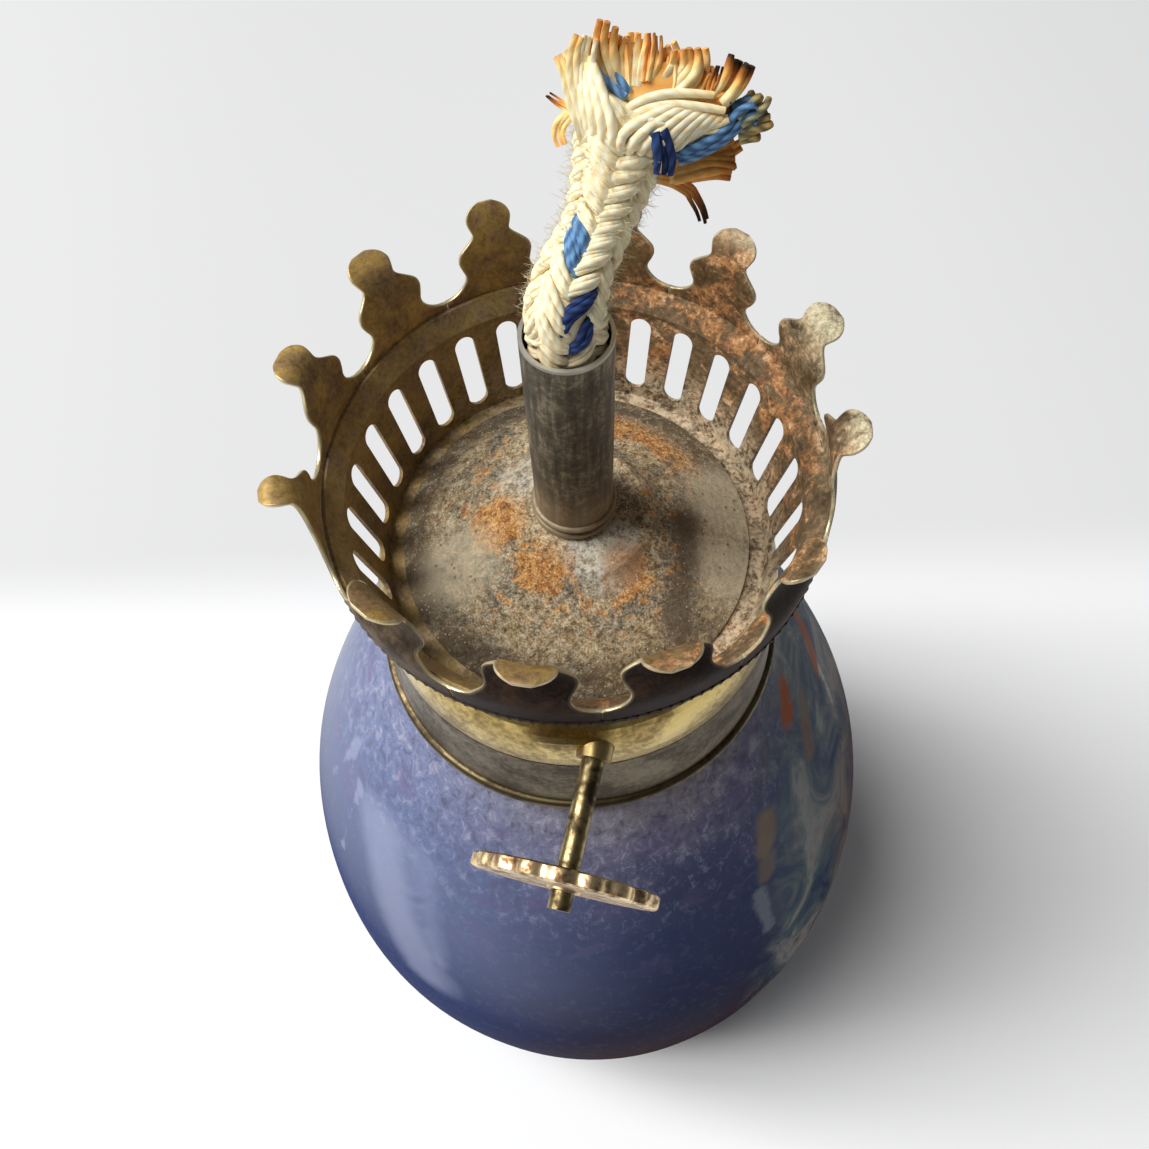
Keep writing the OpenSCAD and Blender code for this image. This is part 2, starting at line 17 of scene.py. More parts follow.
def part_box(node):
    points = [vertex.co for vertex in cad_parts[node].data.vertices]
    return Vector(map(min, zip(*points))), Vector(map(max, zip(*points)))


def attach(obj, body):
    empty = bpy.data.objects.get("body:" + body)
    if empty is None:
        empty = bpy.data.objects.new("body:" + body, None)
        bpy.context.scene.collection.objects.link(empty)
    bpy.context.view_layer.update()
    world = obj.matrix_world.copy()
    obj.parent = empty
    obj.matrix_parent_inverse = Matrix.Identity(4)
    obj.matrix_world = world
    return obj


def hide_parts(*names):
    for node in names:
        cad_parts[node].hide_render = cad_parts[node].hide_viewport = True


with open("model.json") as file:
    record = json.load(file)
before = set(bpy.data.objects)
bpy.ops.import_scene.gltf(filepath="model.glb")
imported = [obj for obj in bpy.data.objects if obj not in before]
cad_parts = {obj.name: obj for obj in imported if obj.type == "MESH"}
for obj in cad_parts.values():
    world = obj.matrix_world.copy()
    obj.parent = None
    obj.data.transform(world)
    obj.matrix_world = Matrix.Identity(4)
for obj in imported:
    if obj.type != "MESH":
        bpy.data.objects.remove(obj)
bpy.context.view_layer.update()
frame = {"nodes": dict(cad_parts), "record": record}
nodes = frame["nodes"]
MM = 0.001
print("pieces measured:", sorted(nodes))

# %% [markdown]
# Every size below is in millimetres, the unit a lamp maker works in, and becomes metres in
# one place. The heights come from the measured parts, so the dressed pieces sit on them.

# %% Heights taken from the measured parts
tube_low, tube_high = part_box("wick_tube")
pot_low, pot_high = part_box("font")
deck_low, deck_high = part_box("deck_plate")
crown_low, crown_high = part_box("crown_ring")
collar_low, collar_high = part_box("collar")
tube_top = tube_high.z / MM
deck_top = deck_high.z / MM
crown_base = crown_low.z / MM
collar_base = collar_low.z / MM
print(f"tube top {tube_top:.1f} mm, deck {deck_top:.1f} mm, crown from {crown_base:.1f} mm")

# %% [markdown]
# The camera looks down on the lamp from close by, as someone who leans over it to trim the
# wick would. It stands 61.5 mm in front of the tube and 104 mm above the deck.

# %% Camera
camera_front = 61.5
camera_above_deck = 104.3
camera_turn, camera_pitch, camera_roll = 0.41, -63.43, 3.02
picture_focus, picture_side, sensor = 1000.0, 1149.0, 36.0

lens = bpy.data.cameras.new("lens")
lens.sensor_width = sensor
lens.lens = picture_focus * sensor / picture_side
lens.clip_start, lens.clip_end = 0.005, 20
camera = bpy.data.objects.new("camera", lens)
bpy.context.scene.collection.objects.link(camera)
turn = (Matrix.Rotation(math.radians(camera_turn), 4, "Z")
        @ Matrix.Rotation(math.radians(camera_pitch), 4, "X")
        @ Matrix.Rotation(math.radians(camera_roll), 4, "Y")
        @ Matrix.Rotation(math.radians(90), 4, "X"))
camera.matrix_world = Matrix.Translation(
    (0, -camera_front * MM, (deck_top + camera_above_deck) * MM)) @ turn
bpy.context.scene.camera = camera
print(f"lens {lens.lens:.1f} mm")

# %% [markdown]
# A finish is a set of nodes, and node maths is easier to read as a sum than as a diagram.
# So one small class stands for a socket and adds a Math node for each Python operator, and
# one method adds any other node.

# %% Sockets that can be added and multiplied
class Wire:
    """An output socket; an operator on it adds the Math node that works it out."""

    def __init__(self, finish, socket):
        self.finish, self.socket = finish, socket

    def maths(self, operation, first, second=0.0):
        return self.finish.node("ShaderNodeMath", {"operation": operation},
                                {0: first, 1: second})

    def __add__(self, other):
        return self.maths("ADD", self, other)

    def __sub__(self, other):
        return self.maths("SUBTRACT", self, other)

    def __mul__(self, other):
        return self.maths("MULTIPLY", self, other)

    def __truediv__(self, other):
        return self.maths("DIVIDE", self, other)

    def __pow__(self, other):
        return self.maths("POWER", self, other)

    def __rsub__(self, other):
        return self.maths("SUBTRACT", other, self)

    __radd__, __rmul__ = __add__, __mul__

    def root(self):
        return self.maths("SQRT", self)

    def least(self, other):
        return self.maths("MINIMUM", self, other)

    def most(self, other):
        return self.maths("MAXIMUM", self, other)

    def step(self, low, high):
        """0 below low, 1 above high, and a smooth rise between them."""
        return self.finish.node("ShaderNodeMapRange", {"interpolation_type": "SMOOTHSTEP"},
                                {"Value": self, "From Min": low, "From Max": high})


class Finish:
    """A material with one main shader, and the nodes that paint it."""

    def __init__(self, name, **constants):
        self.material = bpy.data.materials.new(name)
        self.material.use_nodes = True
        self.tree = self.material.node_tree
        self.shader = self.tree.nodes["Principled BSDF"]
        for socket, value in constants.items():
            self.shader.inputs[socket.replace("_", " ")].default_value = value
        place = self.node("ShaderNodeTexCoord", {}, {}, "Object")
        self.mm = self.node("ShaderNodeVectorMath", {"operation": "SCALE"},
                            {0: place, "Scale": 1 / MM})
        self.x, self.y, self.z = (
            self.node("ShaderNodeSeparateXYZ", {}, {0: self.mm}, axis) for axis in "XYZ")

    def node(self, kind, settings, inputs, output=0):
        made = self.tree.nodes.new(kind)
        for key, value in settings.items():
            if key == "stops":
                ramp = made.color_ramp
                while len(ramp.elements) < len(value):
                    ramp.elements.new(1.0)
                for element, (place, colour) in zip(ramp.elements, value):
                    element.position, element.color = place, (*colour, 1)
            else:
                setattr(made, key, value)
        for key, value in inputs.items():
            if isinstance(value, Wire):
                self.tree.links.new(value.socket, made.inputs[key])
            elif isinstance(value, tuple) and len(value) == 3 and made.inputs[key].type == "RGBA":
                made.inputs[key].default_value = (*value, 1)
            else:
                made.inputs[key].default_value = value
        return Wire(self, made.outputs[output])

    def blend(self, factor, first, second, way="MIX"):
        return self.node("ShaderNodeMix", {"data_type": "RGBA", "blend_type": way},
                         {0: factor, 6: first, 7: second}, 2)

    def noise(self, size, detail=4.0, rough=0.55, bend=0.0, at=None):
        """Cloudy noise with lumps about size millimetres across."""
        return self.node("ShaderNodeTexNoise", {},
                         {"Vector": at or self.mm, "Scale": 1 / size, "Detail": detail,
                          "Roughness": rough, "Distortion": bend})

    def cells(self, size, at=None):
        return self.node("ShaderNodeTexVoronoi", {},
                         {"Vector": at or self.mm, "Scale": 1 / size})

    def squeeze(self, x=1.0, y=1.0, z=1.0, shift=0.0):
        """The place in millimetres, squeezed along each axis, for streaks and brushing."""
        return self.node("ShaderNodeMapping", {},
                         {"Vector": self.mm, "Scale": (x, y, z), "Location": (shift, shift, 0)})

    def ramp(self, factor, *stops):
        return self.node("ShaderNodeValToRGB", {"stops": stops}, {0: factor})

    def radius(self):
        return (self.x * self.x + self.y * self.y).root()

    def near(self, x, y, reach, z=None):
        """1 at a spot, given in millimetres, and 0 past its reach."""
        gap = (self.x - x) ** 2.0 + (self.y - y) ** 2.0
        if z is not None:
            gap = gap + (self.z - z) ** 2.0
        return 1 - gap.root().step(reach * 0.35, reach)

    def stroke(self, start, end, wide, wobble=0.0):
        """1 on a brush stroke between two places in millimetres, 0 past its half width."""
        way = [b - a for a, b in zip(start, end)]
        whole = sum(c * c for c in way)
        from_start = [wire - a for wire, a in zip((self.x, self.y, self.z), start)]
        along = sum((wire * (c / whole) for wire, c in zip(from_start, way)), 0.0)
        along = along.most(0.0).least(1.0)
        gap = sum(((wire - along * c) ** 2.0 for wire, c in zip(from_start, way)), 0.0).root()
        return 1 - (gap + wobble).step(wide * 0.3, wide * 1.45)

    def attribute(self, name):
        return self.node("ShaderNodeAttribute", {"attribute_name": name}, {}, "Fac")

    def paint(self, **wires):
        for socket, wire in wires.items():
            self.tree.links.new(wire.socket, self.shader.inputs[socket.replace("_", " ")])
        return self

    def bumps(self, height, deep):
        """Relief from a height of 0 to 1 that is deep millimetres at its most."""
        normal = self.node("ShaderNodeBump", {}, {"Strength": 1.0, "Distance": deep * MM,
                                                  "Height": height})
        return self.paint(Normal=normal)


def dress(piece, finish):
    """The piece's only material becomes this finish."""
    piece.data.materials.clear()
    piece.data.materials.append(finish.material)


# %% [markdown]
# The glaze is a blue-violet stoneware glaze, poured and dipped: milky and mottled where it
# is thick under the collar, deep navy on the front, plum where it ran thin near the foot,
# and grey-green with pale drips and iron-brown flecks on the right.

# %% Glaze
def make_glaze():
    glaze = Finish("glaze", Roughness=0.35, Specular_IOR_Level=0.0, Coat_Roughness=0.07,
                   Coat_IOR=1.5)
    height = glaze.z / 152.0
    clouds = glaze.noise(13.0, 6.0, 0.62, 0.6)
    body = glaze.ramp(height + (clouds - 0.5) * 0.10,
                      (0.0, (0.03, 0.015, 0.015)), (0.43, (0.040, 0.018, 0.028)),
                      (0.56, (0.026, 0.024, 0.062)), (0.68, (0.018, 0.028, 0.092)),
                      (0.80, (0.026, 0.040, 0.120)), (0.88, (0.065, 0.077, 0.165)),
                      (0.94, (0.155, 0.147, 0.225)), (1.0, (0.26, 0.235, 0.25)))
    # Painted light: the left side of the pot is blended to a paler, brighter blue, standing in for the
    # light and reflection that fall on that side.
    left = 1 - (glaze.x - 8.0 * clouds).step(-34.0, 2.0)
    body = glaze.blend(left * 0.75, body, glaze.blend(
        height.step(0.62, 0.95), (0.028, 0.052, 0.165), (0.125, 0.17, 0.34)))
    crawl = glaze.noise(2.0, 8.0, 0.78, 0.5, glaze.squeeze(1.0, 1.0, 0.6))
    high = height.step(0.76, 0.97)
    body = glaze.blend(crawl.step(0.50, 0.64) * (0.06 + 0.6 * high), body, (0.40, 0.38, 0.47))
    body = glaze.blend((1 - crawl.step(0.36, 0.50)) * (0.12 + 0.6 * high), body,
                       (0.060, 0.052, 0.085))
    patch = glaze.noise(9.0, 3.0, 0.5, 0.4)
    body = glaze.blend(patch.step(0.52, 0.66) * height.step(0.7, 0.85) * 0.5, body,
                       (0.11, 0.085, 0.20))
    swirl = glaze.noise(9.0, 4.0, 0.6, 1.2, glaze.squeeze(0.8, 0.8, 0.42))
    right = (glaze.x + 0.25 * glaze.y + 26.0 * (clouds - 0.5)).step(15.0, 30.0)
    teal = glaze.ramp(swirl, (0.34, (0.030, 0.045, 0.12)), (0.47, (0.085, 0.13, 0.16)),
                      (0.56, (0.17, 0.20, 0.19)), (0.64, (0.35, 0.34, 0.31)),
                      (0.74, (0.16, 0.12, 0.10)))
    body = glaze.blend(right * 0.8, body, teal)
    wobble = (swirl - 0.5) * 9.0 + (crawl - 0.5) * 5.0
    brown_side = (glaze.x + 18.0 * (swirl - 0.5) + 14.0 * (clouds - 0.5)).step(40.0, 54.0)
    body = glaze.blend(brown_side * 0.65, body, (0.21, 0.12, 0.09))
    pale, orange, tan = (0.62, 0.58, 0.52), (0.36, 0.085, 0.012), (0.23, 0.17, 0.10)
    sheen_blue = (0.40, 0.45, 0.62)
    # Strokes of colour on the glaze. The first two, wide and pale blue on the upper left, are a painted
    # reflection, and the two thin sheen_blue strokes on the left edge are painted reflection lines; the
    # rest are pale drips and grey, tan, brown and orange flecks on the right.
    for start, end, wide, paint, strong in (
            ((-34.0, -25.0, 125.0), (-31.0, -44.0, 94.0), 6.5, (0.34, 0.38, 0.55), 0.45),
            ((-26.0, -31.0, 128.0), (-27.0, -42.0, 104.0), 3.0, (0.24, 0.28, 0.45), 0.35),
            ((-45.8, -12.0, 115.5), (-34.5, -12.0, 136.5), 0.8, sheen_blue, 0.3),
            ((-45.0, -22.5, 105.0), (-37.5, -17.5, 127.0), 0.8, sheen_blue, 0.3),
            ((38.1, 1.1, 134.2), (43.4, -5.0, 122.5), 1.1, pale, 0.85),
            ((45.8, -9.8, 112.5), (40.5, -22.0, 115.0), 1.0, pale, 0.75),
            ((40.5, -22.0, 115.0), (38.0, -29.5, 109.0), 1.3, (0.38, 0.40, 0.38), 0.7),
            ((27.5, -36.0, 118.0), (30.5, -40.0, 106.0), 1.5, (0.30, 0.33, 0.36), 0.5),
            ((27.0, -27.0, 132.0), (28.0, -30.0, 127.5), 2.2, tan, 0.8),
            ((28.6, -31.5, 124.0), (28.4, -33.5, 121.0), 1.8, tan, 0.6),
            ((34.6, -9.5, 138.0), (36.5, -16.0, 130.5), 1.8, (0.26, 0.15, 0.08), 0.6),
            ((36.1, 6.5, 137.0), (39.0, -1.0, 131.5), 1.9, orange, 0.95),
            ((30.5, -9.4, 144.2), (31.3, -13.0, 140.5), 2.0, orange, 0.95)):
        body = glaze.blend(glaze.stroke(start, end, wide, wobble * 0.7) * strong, body, paint)
    window_side = 1 - (glaze.x + 0.2 * glaze.y).step(-28.0, 6.0)
    glaze.paint(Base_Color=body, Coat_Weight=0.04 + 0.08 * height.step(0.6, 0.85)
                + 0.45 * window_side * height.step(0.55, 0.8))
    glaze.bumps(0.8 * glaze.noise(26.0, 2.0) + 0.05 * crawl, 0.55)
    return glaze


# %% [markdown]
# Brass has no colour of its own to speak of when it is clean: it shows the room in gold.
# Age adds what the eye reads as old: brown tarnish that dulls it, rust bled from the steel
# parts, and pale green verdigris where damp sat. Each is a mask that changes the colour,
# the metal and the roughness together.

# %% Brass, bright and aged
def make_brass(name, clean, tarnish, spots, gloss):
    """Spun brass: tarnish in clouds of spots millimetres, brushed round the axis."""
    brass = Finish(name, Metallic=1.0)
    clouds = brass.noise(spots, 6.0, 0.6, 0.5)
    fine = brass.noise(0.8, 5.0, 0.6)
    worn = (clouds * 0.75 + fine * 0.35).step(0.42, 0.68)
    turned = brass.noise(0.35, 3.0, 0.6, 0.0, brass.squeeze(0.05, 0.05, 2.2))
    brass.paint(Base_Color=brass.blend(worn, clean, tarnish),
                Roughness=gloss + 0.22 * worn + 0.10 * turned)
    brass.bumps(0.5 * turned + 0.5 * clouds, 0.03)
    return brass


def make_patina(name, gold, brown, rust_from, gold_to, metal=0.5, rough=0.36, shine_at=1.0):
    """Old gallery brass: olive gold on the left, brown between, rust and verdigris right."""
    patina = Finish(name, Specular_IOR_Level=0.3 if metal > 0.1 else 0.1)
    big = patina.noise(6.0, 6.0, 0.62, 0.7)
    grain = patina.noise(0.55, 6.0, 0.75)
    mid = patina.noise(2.2, 6.0, 0.68, 0.4)
    tone = mid * 0.55 + grain * 0.45
    gold, brown = (patina.ramp(tone, (0.38, [c * low for c in paint]), (0.50, paint),
                               (0.64, [c * high for c in paint]))
                   for paint, low, high in ((gold, 0.5, 1.25), (brown, 0.4, 2.1)))
    olive = patina.blend((big * 0.55 + mid * 0.55).step(0.46, 0.64), gold, brown)
    olive = patina.blend(mid.step(0.62, 0.74) * 0.75, olive, (0.035, 0.026, 0.018))
    dull = (patina.x + 14.0 * (big - 0.5)).step(gold_to - 9.0, gold_to + 9.0)
    body = patina.blend(dull, olive, brown)
    scale = (big * 0.5 + mid * 0.4 + grain * 0.2).step(0.54, 0.60)
    rust = scale * (patina.x + 16.0 * (big - 0.5)).step(rust_from - 7.0, rust_from + 6.0)
    rusty = patina.ramp(grain * 0.45 + mid * 0.55, (0.36, (0.085, 0.035, 0.015)),
                        (0.47, (0.24, 0.105, 0.04)), (0.56, (0.50, 0.235, 0.08)),
                        (0.66, (0.78, 0.66, 0.48)))
    body = patina.blend(rust * 0.9, body, rusty)
    green = ((patina.radius() + patina.x * 0.3).step(35.5, 40.0)
             * (big * 0.6 + mid * 0.6).step(0.48, 0.66))
    body = patina.blend(green * 0.85, body, patina.ramp(
        grain, (0.38, (0.42, 0.36, 0.18)), (0.58, (0.88, 0.82, 0.58))))
    chalk = (1 - patina.z.step(deck_top - 7.0, deck_top + 1.0)) * (grain + mid * 0.8).step(0.75, 1.0)
    body = patina.blend(chalk * 0.85 * patina.x.step(-26.0, 10.0), body, (0.56, 0.46, 0.31))
    # The rims of the prongs are painted pale and made more metallic and smoother: rubbed-bright brass,
    # and also a painted edge highlight.
    edge = patina.attribute("edge")
    shine = edge * (0.35 + 0.65 * mid) * (1 - 0.5 * rust) * shine_at
    body = patina.blend(shine, body, (0.74, 0.66, 0.42))
    crust = rust.most(green).most(chalk)
    patina.paint(Base_Color=body, Metallic=metal * (1 - crust) + 0.35 * shine,
                 Roughness=rough + 0.16 * mid + 0.25 * crust - 0.14 * shine)
    patina.bumps(0.6 * grain * (0.25 + crust) + 0.4 * mid, 0.14)
    return patina


# %% [markdown]
# The deck has lived in soot, oil and heat. Its plating is gone: what is left is a sandy
# crust in greys and tans, with orange rust in patches round the tube, a chalky spot in
# front of it and a dark oily stain to the right.

# %% Deck crust and tube steel
def make_crust():
    crust = Finish("deck_crust")
    grain = crust.noise(0.26, 5.0, 0.8)
    sand = crust.noise(0.75, 6.0, 0.75)
    lumps = crust.noise(1.9, 6.0, 0.7, 0.5)
    clouds = crust.noise(7.5, 6.0, 0.62, 0.9)
    tone = grain * 0.45 + sand * 0.45 + lumps * 0.25
    sandy = crust.ramp(tone, (0.46, (0.070, 0.038, 0.015)), (0.54, (0.36, 0.235, 0.105)),
                       (0.60, (0.66, 0.51, 0.30)), (0.67, (0.97, 0.87, 0.65)))
    grey = crust.ramp(tone, (0.47, (0.060, 0.043, 0.024)), (0.55, (0.27, 0.21, 0.13)),
                      (0.61, (0.51, 0.44, 0.31)), (0.69, (0.92, 0.85, 0.67)))
    body = crust.blend(clouds.step(0.44, 0.58), sandy, grey)
    radius = crust.radius()
    ring = 1 - (radius - 12.0).maths("ABSOLUTE", radius - 12.0).step(3.5, 8.0)
    spots = crust.near(-9.0, -1.0, 5.0).most(crust.near(-4.0, -7.0, 5.0))
    spots = spots.most(crust.near(6.0, -8.5, 4.5)).most(
        crust.stroke((7.0, 15.0, deck_top - 4.9), (15.5, 9.5, deck_top - 5.8), 3.0, (clouds - 0.5) * 4.0))
    rust = (lumps * 0.7 + clouds * 0.35 + sand * 0.2 + spots * 0.15).step(0.65, 0.73) * ring
    rusty = crust.ramp(grain * 0.5 + sand * 0.5, (0.42, (0.25, 0.085, 0.018)),
                       (0.50, (0.66, 0.27, 0.055)), (0.58, (0.98, 0.60, 0.22)))
    body = crust.blend(rust * 0.92, body, rusty)
    # Painted shade: a dark brown band round the foot of the gallery wall, stronger on the left where the
    # wall shades the deck and left out on the right where light reaches it.
    brown = radius.step(17.0, 20.0) * (0.3 + 0.7 * lumps.step(0.42, 0.58))
    brown = brown * (1 - crust.near(20.0, -3.0, 15.0)) + 0.4 * crust.near(-20.0, -5.7, 5.0)
    body = crust.blend(brown.least(0.85), body, (0.115, 0.070, 0.030))
    pale = crust.near(19.5, 3.0, 8.0).most(crust.near(18.5, -6.0, 6.5)) * (0.25 + 0.9 * sand)
    pale = pale.most(crust.near(-14.5, -5.0, 7.0) * (0.1 + 0.9 * lumps))
    body = crust.blend(pale.least(0.9), body, (0.90, 0.77, 0.53))
    pits = crust.cells(1.3).step(0.10, 0.22)
    body = crust.blend((1 - pits) * 0.6, body, (0.07, 0.045, 0.025))
    chalk = crust.near(3.0, -6.0, 6.0).most(crust.near(-6.0, 5.0, 5.0) * 0.7)
    chalk = (chalk * (0.25 + 1.1 * sand.step(0.40, 0.60))).least(1.0)
    body = crust.blend(chalk * 0.85, body, (0.84, 0.78, 0.64))
    stain = crust.stroke((13.6, -1.0, deck_top - 3.6), (11.6, -13.2, deck_top - 5.6), 2.5,
                         (clouds - 0.5) * 4.0)
    stain = (stain * (0.55 + 0.5 * lumps)).least(0.86)
    body = crust.blend(stain, body, (0.105, 0.070, 0.038))
    patch = crust.near(5.5, -7.2, 3.4) * (0.15 + 0.8 * sand.step(0.42, 0.58))
    body = crust.blend(patch, body, (0.42, 0.19, 0.055))
    # Fine white specks on the grains: salt crust, and painted glints where the crystals catch the light.
    salt_and_glints = (1 - crust.cells(0.62).step(0.10, 0.20)) * lumps.step(0.40, 0.55)
    body = crust.blend(salt_and_glints * 0.75, body, (0.98, 0.93, 0.80))
    crust.paint(Base_Color=body, Roughness=0.55 + 0.3 * lumps)
    crust.bumps(0.5 * grain + 0.7 * sand + 0.6 * lumps, 0.7)
    return crust


def make_tube_steel():
    steel = Finish("tube_steel")
    grain = steel.noise(0.6, 6.0, 0.7)
    drawn = steel.noise(1.2, 4.0, 0.6, 0.0, steel.squeeze(1.6, 1.6, 0.15))
    cloud = steel.noise(4.0, 5.0, 0.6, 0.4)
    body = steel.ramp(grain * 0.35 + drawn * 0.4 + cloud * 0.35, (0.45, (0.050, 0.040, 0.027)),
                      (0.55, (0.125, 0.100, 0.065)), (0.63, (0.30, 0.25, 0.17)))
    brown = 1 - steel.z.step(deck_top + 1.0, deck_top + 12.0)
    body = steel.blend(brown * 0.65, body, (0.32, 0.23, 0.13))
    rim = steel.z.step(tube_top - 0.5, tube_top - 0.25)
    body = steel.blend(rim, body, (0.62, 0.60, 0.54))
    steel.paint(Base_Color=body, Metallic=0.3 + 0.5 * rim, Roughness=0.42 + 0.2 * grain - 0.2 * rim)
    steel.bumps(0.6 * grain + 0.4 * drawn, 0.06)
    return steel


# %% [markdown]
# The plaster that holds the collar has soaked up oil and gone golden brown.

# %% Plaster
def make_plaster():
    plaster = Finish("old_plaster", Roughness=0.8)
    grain = plaster.noise(0.8, 6.0, 0.7)
    plaster.paint(Base_Color=plaster.ramp(grain, (0.3, (0.16, 0.095, 0.04)),
                                          (0.7, (0.48, 0.33, 0.16))))
    plaster.bumps(grain, 0.15)
    return plaster


glaze = make_glaze()
shoulder_brass = make_brass("shoulder_brass", (0.62, 0.47, 0.17), (0.24, 0.16, 0.055), 9.0, 0.16)
collar_brass = make_brass("collar_brass", (0.15, 0.115, 0.06), (0.055, 0.04, 0.022), 9.0, 0.30)
spindle_brass = make_brass("spindle_brass", (0.36, 0.28, 0.13), (0.05, 0.035, 0.018), 3.0, 0.22)
wheel_brass = make_brass("wheel_brass", (0.92, 0.70, 0.40), (0.17, 0.085, 0.04), 1.9, 0.24)
hidden_brass = make_brass("hidden_brass", (0.42, 0.31, 0.13), (0.16, 0.11, 0.05), 7.0, 0.3)
crown_patina = make_patina("crown_patina", (0.52, 0.335, 0.10), (0.20, 0.125, 0.06), 9.0, 4.0, 0.35)
basket_patina = make_patina("basket_patina", (0.42, 0.28, 0.095), (0.21, 0.14, 0.075), 2.0, -6.0,
                            0.3)
# The crown's outer face has a darker copy of the patina: painted shade, near-black brown, with a little
# gold only at the far left where light falls.
crown_painted_shade = make_patina("crown_painted_shade", (0.21, 0.15, 0.085), (0.028, 0.015, 0.009), 60.0, -20.0,
                          0.04, 0.5, 0.3)
deck_crust = make_crust()
tube_steel = make_tube_steel()
old_plaster = make_plaster()
cotton = Finish("plain_cotton", Roughness=0.9)
cotton.paint(Base_Color=cotton.ramp(cotton.noise(0.8), (0.3, (0.5, 0.42, 0.3)),
                                    (0.7, (0.8, 0.72, 0.56))))

# %% [markdown]
# Most parts of a lamp are round, so one helper does what a lathe does. It adds a circle,
# then extrudes its edge up the profile one ring at a time and resizes each new ring.

# %% The lathe
def deselect():
    bpy.ops.object.select_all(action="DESELECT")


def turned(name, profile, segments, closed=False):
    """A turned piece from (radius, height) points; closed joins the last ring to the first."""
    deselect()
    radius, height = profile[0]
    bpy.ops.mesh.primitive_circle_add(vertices=segments, radius=radius * MM,
                                      location=(0, 0, height * MM))
    piece = bpy.context.object
    piece.name = name
    bpy.ops.object.transform_apply(location=True, rotation=False, scale=False)
    bpy.ops.object.mode_set(mode="EDIT")
    bpy.ops.mesh.select_mode(type="VERT")
    bpy.ops.mesh.select_all(action="SELECT")
    for wide, high in profile[1:] + (profile[:1] if closed else []):
        bpy.ops.mesh.extrude_region_move(
            TRANSFORM_OT_translate={"value": (0, 0, (high - height) * MM)})
        bpy.ops.transform.resize(value=(wide / radius, wide / radius, 1))
        radius, height = wide, high
    bpy.ops.mesh.select_all(action="SELECT")
    if closed:
        bpy.ops.mesh.remove_doubles(threshold=1e-6)
    else:
        bpy.ops.mesh.select_mode(type="EDGE")
        bpy.ops.mesh.select_non_manifold(extend=False)
        bpy.ops.mesh.edge_face_add()
        bpy.ops.mesh.select_all(action="SELECT")
    bpy.ops.mesh.normals_make_consistent(inside=False)
    bpy.ops.object.mode_set(mode="OBJECT")
    return piece


def smooth(piece, angle=35):
    deselect()
    piece.select_set(True)
    bpy.context.view_layer.objects.active = piece
    bpy.ops.object.shade_smooth_by_angle(angle=math.radians(angle))


def modify(piece, kind, **settings):
    """Adds a modifier and applies it."""
    deselect()
    piece.select_set(True)
    bpy.context.view_layer.objects.active = piece
    made = piece.modifiers.new(kind.title(), kind)
    for key, value in settings.items():
        setattr(made, key, value)
    bpy.ops.object.modifier_apply(modifier=made.name)


# %% [markdown]
# The pot is thrown on a wheel, so the lathe suits it, but no thrown pot is perfectly round.
# After turning, each ring is pulled in by up to half a millimetre here and there.

# %% Pot
def pot_curve(count, belly_z, belly_r, z0, r0, z1, r1):
    """The pot's side as (radius, height) points, closer together near the foot."""
    points = []
    for step in range(count + 1):
        share = step / count
        z = z0 + (z1 - z0) * (share * share / 0.3 if share < 0.3 else share)
        if z > belly_z:
            r = r1 + (belly_r - r1) * max(0, 1 - ((z - belly_z) / (z1 - belly_z)) ** 2.5) ** 1.1
        else:
            r = r0 + (belly_r - r0) * math.sqrt(max(0, 1 - ((belly_z - z) / (belly_z - z0)) ** 2))
        points.append((r, z))
    return points


foot_r, mouth_r, neck_r, bore_r = 40.0, 27.55, 25.4, 21.5
outside = pot_curve(64, 43.0, 58.95, 2.5, foot_r, collar_base - 0.0, mouth_r)
inside = pot_curve(26, 43.0, 54.0, 8.0, foot_r - 5, collar_base - 4.0, bore_r)
pot = turned("glazed_pot", [(foot_r - 1, 0), (foot_r, 1)] + outside
             + [(neck_r, collar_base), (neck_r, collar_base + 5.5), (bore_r, collar_base + 5.5)]
             + inside[::-1], 144)
for vertex in pot.data.vertices:
    x, y, z = (c / MM for c in vertex.co)
    turn = math.atan2(y, x)
    lean = math.sin(3 * turn + z / 31) + 0.7 * math.sin(5 * turn - z / 17 + 1) + 0.5 * math.sin(z / 6)
    fade = min(1, max(0, (z - 6) / 20)) * min(1, max(0, (collar_base - 6 - z) / 20))
    pull = 1 - 0.0035 * fade * (1.1 + 0.5 * lean)
    vertex.co.x *= pull
    vertex.co.y *= pull
smooth(pot, 40)
dress(pot, glaze)
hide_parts("font")
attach(pot, "font_body")
print("pot:", len(pot.data.polygons), "faces")

# %% [markdown]
# The crown is one strip of thin brass, stamped with twelve three-lobed prongs, rolled into
# a ring and bent by hand until it grips the glass. It is made the same way here: a flat grid
# is added, cut apart between the prongs, and rolled up by moving its points. Solidify then
# gives it the thickness of the sheet.

# %% The crown's outline and bends
band_low_r, band_top_r, band_h = 29.1, 29.3, 4.05
valley_z = crown_base + band_h
prong_len, gap_r = 10.4, 3.4
